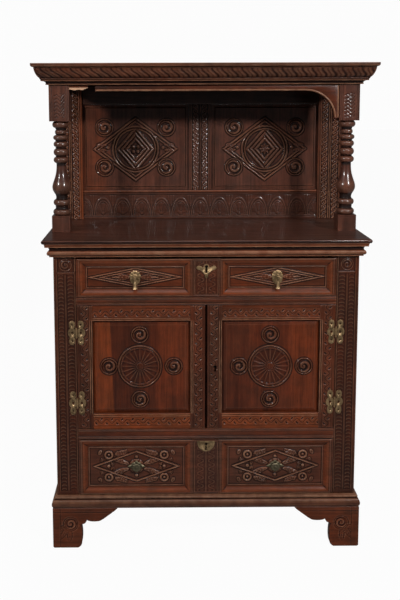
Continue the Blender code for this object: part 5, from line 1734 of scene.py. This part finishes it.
class CUPBOARD_OT_pulls(bpy.types.Operator):
    """Makes the petalled plates and drops of the upper drawer and the rosette knobs of the lower one"""

    bl_idname = "cupboard.pulls"
    bl_label = "Pulls and knobs"

    # Axis of a pull's pin, and the faces that the plates lie on
    AXIS = (0.2355, -0.217, 0.93875)
    UPPER_FACE = -0.2013
    LOWER_FACE = -0.2020
    EAR_OFF = 0.0032
    EAR_HALF = 0.0009
    # Turned shapes, as heights and radii
    EAR = ((-0.0009, 0.0030), (-0.0006, 0.0034), (0.0006, 0.0034), (0.0009, 0.0030))
    PIN = ((-0.0048, 0.0009), (-0.0044, 0.0014), (0.0044, 0.0014), (0.0048, 0.0009))
    EYE = ((-0.0016, 0.0022), (-0.0014, 0.0031), (0.0, 0.0034), (0.0014, 0.0031), (0.0016, 0.0022))
    DROP = ((-1.000, 0.0012), (-0.990, 0.0058), (-0.970, 0.0078), (-0.935, 0.0082), (-0.890, 0.0074),
            (-0.800, 0.0061), (-0.680, 0.0055), (-0.560, 0.0051), (-0.460, 0.0044), (-0.380, 0.0033),
            (-0.300, 0.0024), (-0.230, 0.0020), (-0.200, 0.0028), (-0.170, 0.0028), (-0.140, 0.0018),
            (-0.070, 0.0017))
    KNOB = ((0.0, 0.0100), (0.0010, 0.0102), (0.0025, 0.0082), (0.0050, 0.0074), (0.0068, 0.0090),
            (0.0080, 0.0125), (0.0092, 0.0145), (0.0106, 0.0150), (0.0120, 0.0142), (0.0130, 0.0118),
            (0.0136, 0.0090), (0.0130, 0.0072), (0.0134, 0.0058), (0.0146, 0.0040), (0.0150, 0.0018))

    def pull_plate(self, name, axis):
        """A petalled plate with two ears and a pin."""
        def petals(angle):
            tall = np.where(np.sin(angle) < 0, 0.0300, 0.0165)
            oval = 1.0 / np.hypot(np.cos(angle) / 0.0165, np.sin(angle) / tall)
            return oval + 0.0020 * np.abs(np.cos(4 * angle)) ** 0.6

        def dome(x, z, share):
            rim = rise(share - 0.85, 0.15)
            flutes = 0.0010 * np.abs(np.cos(4 * np.arctan2(z, x))) * rise(share - 0.35, 0.2) * (1.0 - rim)
            return 0.0026 * bead(share, 0.42) + flutes - 0.0008 * rim

        rose = plate(f"pull_rose_{name}", petals, dome, 14, 64, 0.0016)
        pieces = [shifted(rose, (axis[0], self.UPPER_FACE, axis[2]))]
        for ear in (-1, 1):
            x = axis[0] + ear * self.EAR_OFF
            cheek = turned("pull_ear", self.EAR, 20)
            arm = plain_board("pull_arm", (x - self.EAR_HALF, axis[1], axis[2] - 0.0024),
                              (x + self.EAR_HALF, self.UPPER_FACE - 0.001, axis[2] + 0.0024), 0.0004)
            pieces += [shifted(cheek, (x, axis[1], axis[2]), "Y"), arm]
        pin = shifted(turned("pull_pin", self.PIN, 16), axis, "Y")
        mesh = joined(f"petalled_pull_plate_{name}", pieces + [pin])
        place_metal(mesh, "brass", f"pull_plate_{name}", "upper_drawer")

    def pull_drop(self, name, axis):
        """A turned drop that hangs from the pin by its eye."""
        length = axis[2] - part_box(f"pull_drop_{name}")[0][2]
        drop = turned("drop_body", [(share * length, radius) for share, radius in self.DROP], 28)
        eye = turned("drop_eye", self.EYE, 24)
        mesh = joined(f"turned_pull_drop_{name}", [shifted(drop, axis), shifted(eye, axis, "Y")])
        place_metal(mesh, "brass", f"pull_drop_{name}", f"pull_drop_{name}")

    def knob(self, name):
        """A fluted knob on a lobed plate."""
        low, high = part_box(f"knob_{name}")
        x = 0.5 * (low[0] + high[0])
        z = 0.5 * (low[2] + high[2])
        stretch = (high[1] - low[1]) / self.KNOB[-1][0]

        def flutes(height, angle):
            return 1.0 - 0.07 * rise(height - 0.0075, 0.002) * np.abs(np.sin(5 * angle))

        def lobes(angle):
            sharp = np.abs(np.cos(angle)) / 0.0265 + np.abs(np.sin(angle)) / 0.0190
            return (1.0 / sharp + 0.0035) * (0.94 + 0.06 * np.cos(8 * angle))

        def crown(x, z, share):
            return 0.0020 * bead(share, 1.0) + 0.0010 * bead(share - 0.72, 0.16)

        shape = [(height * stretch, radius) for height, radius in self.KNOB]
        turning = turned("knob_turning", shape, 60, flutes)
        rose = plate("knob_plate", lobes, crown, 12, 64, 0.0012)
        pieces = [shifted(turning, (x, high[1], z), "X"), shifted(rose, (x, self.LOWER_FACE, z))]
        place_metal(joined(f"rosette_knob_{name}", pieces), "bronze", f"knob_{name}", "lower_drawer")

    def execute(self, context):
        for name, side in SIDES:
            axis = (side * self.AXIS[0], self.AXIS[1], self.AXIS[2])
            self.pull_plate(name, axis)
            self.pull_drop(name, axis)
            self.knob(name)
        return {"FINISHED"}


class CUPBOARD_OT_key_plates(bpy.types.Operator):
    """Cuts the two key plates with their keyholes and finishes the iron locks"""

    bl_idname = "cupboard.key_plates"
    bl_label = "Key plates and locks"

    # Right half of the winged plate, from its foot to its head, as shares of its half-width and height
    WING = ((0.0, 0.0), (0.10, 0.05), (0.17, 0.14), (0.13, 0.24), (0.24, 0.32), (0.36, 0.42), (0.50, 0.52),
            (0.64, 0.58), (0.84, 0.62), (1.00, 0.72), (0.92, 0.84), (0.74, 0.90), (0.56, 0.86), (0.42, 0.79),
            (0.30, 0.79), (0.22, 0.86), (0.17, 0.95), (0.0, 1.0))

    def pierced(self, name, outline, hole, front, back):
        """A brass plate with a keyhole cut right through it."""
        blank = prism(name, outline, front, back, 0.0005)
        return cut_keyhole(blank, hole, 0.0045, 0.0210, front, back + 0.01)

    def execute(self, context):
        low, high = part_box("upper_drawer_key_plate")
        half = high[0]
        tall = high[2] - low[2]
        outline = [(half * x, low[2] + tall * z) for x, z in self.WING]
        outline += [(-half * x, low[2] + tall * z) for x, z in self.WING[-2:0:-1]]
        mesh = self.pierced("winged_key_plate", outline, (0.0, key_level("upper")), low[1], high[1])
        place_metal(mesh, "brass", "upper_drawer_key_plate", "upper_drawer")
        low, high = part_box("lower_drawer_key_plate")
        outline = arc((0.0, high[2] - 0.004), (high[0], high[2] - 0.004 - low[2]), 180, 360, 41)
        outline += [(high[0], high[2]), (low[0], high[2])]
        mesh = self.pierced("half_round_key_plate", outline, (0.0, key_level("lower")), low[1], high[1])
        place_metal(mesh, "brass", "lower_drawer_key_plate", "lower_drawer")
        for node in ("upper_drawer_lock", "upper_drawer_bolt", "lower_drawer_lock", "lower_drawer_bolt",
                     "right_door_lock", "right_door_bolt"):
            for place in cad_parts[node].material_slots:
                place.material = metal("iron")
        return {"FINISHED"}


class CUPBOARD_OT_studio(bpy.types.Operator):
    """Sets up the floor, the lamps and the camera"""

    bl_idname = "cupboard.studio"
    bl_label = "Studio"

    # Place, target, size in metres and spread in degrees of each soft box
    LAMPS = (("left", (-2.55, -2.50, 2.62), (0.0, 0.0, 1.05), 0.30, 110.0),
             ("right", (1.85, -2.70, 2.62), (0.0, 0.0, 1.05), 0.30, 110.0),
             ("top", (-0.10, -3.20, 5.00), (0.0, -0.2, 0.90), 2.20, 180.0),
             ("back", (0.0, 3.60, 2.20), (0.0, 0.2, 0.90), 0.80, 110.0))
    CAMERA_PLACE = (-0.1486, -2.6328, 1.5353)
    CAMERA_TURN = (1.46549, 0.00316, -0.00611)
    CAMERA_SHIFT = (0.0578, -0.2100)
    FLOOR_REACH = 30

    def seen(self, tree, settings):
        """1 where the camera or glass sees the white studio, and less in reflections."""
        path = add_node(tree, "ShaderNodeLightPath")
        direct = summed(tree, path.outputs["Is Camera Ray"], path.outputs["Is Transmission Ray"], "MAXIMUM")
        reflected = scaled(tree, path.outputs["Is Glossy Ray"], settings.mirrored)
        return summed(tree, direct, reflected, "MAXIMUM")

    def floor(self, settings):
        """A wide pale floor that the camera sees as white, apart from the shadow."""
        material = bpy.data.materials.new("pale_floor")
        tree, surface = new_surface(material)
        surface.inputs["Base Color"].default_value = opaque(settings.floor)
        surface.inputs["Roughness"].default_value = 0.9
        surface.inputs["Specular IOR Level"].default_value = 0.0
        glow = add_node(tree, "ShaderNodeEmission", {"Color": (1.0, 1.0, 1.0, 1.0), "Strength": 1.0})
        share = scaled(tree, self.seen(tree, settings), 0.965)
        both = add_node(tree, "ShaderNodeMixShader", {0: share, 1: surface.outputs[0], 2: glow.outputs[0]})
        tree.links.new(both.outputs[0], tree.nodes["Material Output"].inputs["Surface"])
        mesh = bpy.data.meshes.new("studio_floor")
        reach = self.FLOOR_REACH
        mesh.from_pydata([(-reach, -reach, 0), (reach, -reach, 0), (reach, reach, 0), (-reach, reach, 0)], [],
                         [(0, 1, 2, 3)])
        mesh.materials.append(material)
        made = bpy.data.objects.new("studio_floor", mesh)
        bpy.context.scene.collection.objects.link(made)

    def lamp(self, name, place, target, power, size, spread):
        """A square soft box that faces a point."""
        data = bpy.data.lights.new(name, "AREA")
        data.energy = power
        data.size = size
        data.spread = math.radians(spread)
        made = bpy.data.objects.new(name, data)
        made.location = place
        made.rotation_euler = (Vector(target) - Vector(place)).to_track_quat("-Z", "Y").to_euler()
        bpy.context.scene.collection.objects.link(made)

    def world(self, settings):
        """White behind the object, and a low even fill on it."""
        world = bpy.data.worlds.new("white_studio")
        bpy.context.scene.world = world
        world.use_nodes = True
        tree = world.node_tree
        seen = self.seen(tree, settings)
        background = tree.nodes["Background"]
        background.inputs["Color"].default_value = (0.975, 0.975, 0.975, 1.0)
        tree.links.new(ranged(tree, seen, 0.0, 1.0, settings.fill, 1.0), background.inputs["Strength"])

    def execute(self, context):
        settings = context.scene.cupboard_studio
        self.floor(settings)
        for name, place, target, size, spread in self.LAMPS:
            self.lamp(f"soft_box_{name}", place, target, getattr(settings, f"{name}_power"), size, spread)
        self.world(settings)
        context.scene.view_settings.view_transform = "Standard"
        data = bpy.data.cameras.new("eye_level")
        data.lens = 45.0
        data.sensor_width = 36.0
        data.shift_x, data.shift_y = self.CAMERA_SHIFT
        data.clip_end = 200.0
        camera = bpy.data.objects.new("eye_level", data)
        camera.location = self.CAMERA_PLACE
        camera.rotation_euler = self.CAMERA_TURN
        context.scene.collection.objects.link(camera)
        context.scene.camera = camera
        return {"FINISHED"}


class CUPBOARD_PT_sidebar(bpy.types.Panel):
    """Lists the pieces in the order that they are built"""

    bl_idname = "CUPBOARD_PT_sidebar"
    bl_label = "Court cupboard"
    bl_space_type = "VIEW_3D"
    bl_region_type = "UI"
    bl_category = "Cupboard"

    def draw(self, context):
        layout = self.layout
        for name in SETTINGS:
            settings = getattr(context.scene, name)
            box = layout.box()
            for key in settings.bl_rna.properties.keys():
                if key not in ("rna_type", "name"):
                    box.prop(settings, key)
        for step in STEPS:
            layout.operator(step.bl_idname)


SETTINGS = {"cupboard_oak": OakFinish, "cupboard_metal": MetalFinish, "cupboard_carving": CarvingSizes,
            "cupboard_studio": StudioSettings}
STEPS = (CUPBOARD_OT_studio, CUPBOARD_OT_front_stiles, CUPBOARD_OT_case_rails, CUPBOARD_OT_case_sides,
         CUPBOARD_OT_inner_boards, CUPBOARD_OT_mouldings, CUPBOARD_OT_bracket_feet, CUPBOARD_OT_serving_top,
         CUPBOARD_OT_columns, CUPBOARD_OT_stage_back, CUPBOARD_OT_canopy, CUPBOARD_OT_drawers,
         CUPBOARD_OT_doors, CUPBOARD_OT_hinges, CUPBOARD_OT_pulls, CUPBOARD_OT_key_plates)


def register():
    """Registers the settings, the operators and the panel."""
    for name, group in SETTINGS.items():
        bpy.utils.register_class(group)
        setattr(bpy.types.Scene, name, PointerProperty(type=group))
    for step in STEPS:
        bpy.utils.register_class(step)
    bpy.utils.register_class(CUPBOARD_PT_sidebar)


def unregister():
    """Takes the panel, the operators and the settings out again."""
    bpy.utils.unregister_class(CUPBOARD_PT_sidebar)
    for step in reversed(STEPS):
        bpy.utils.unregister_class(step)
    for name, group in SETTINGS.items():
        delattr(bpy.types.Scene, name)
        bpy.utils.unregister_class(group)


def main():
    """Builds every piece in order."""
    register()
    for step in STEPS:
        area, name = step.bl_idname.split(".")
        getattr(getattr(bpy.ops, area), name)()


if __name__ == "__main__":
    main()
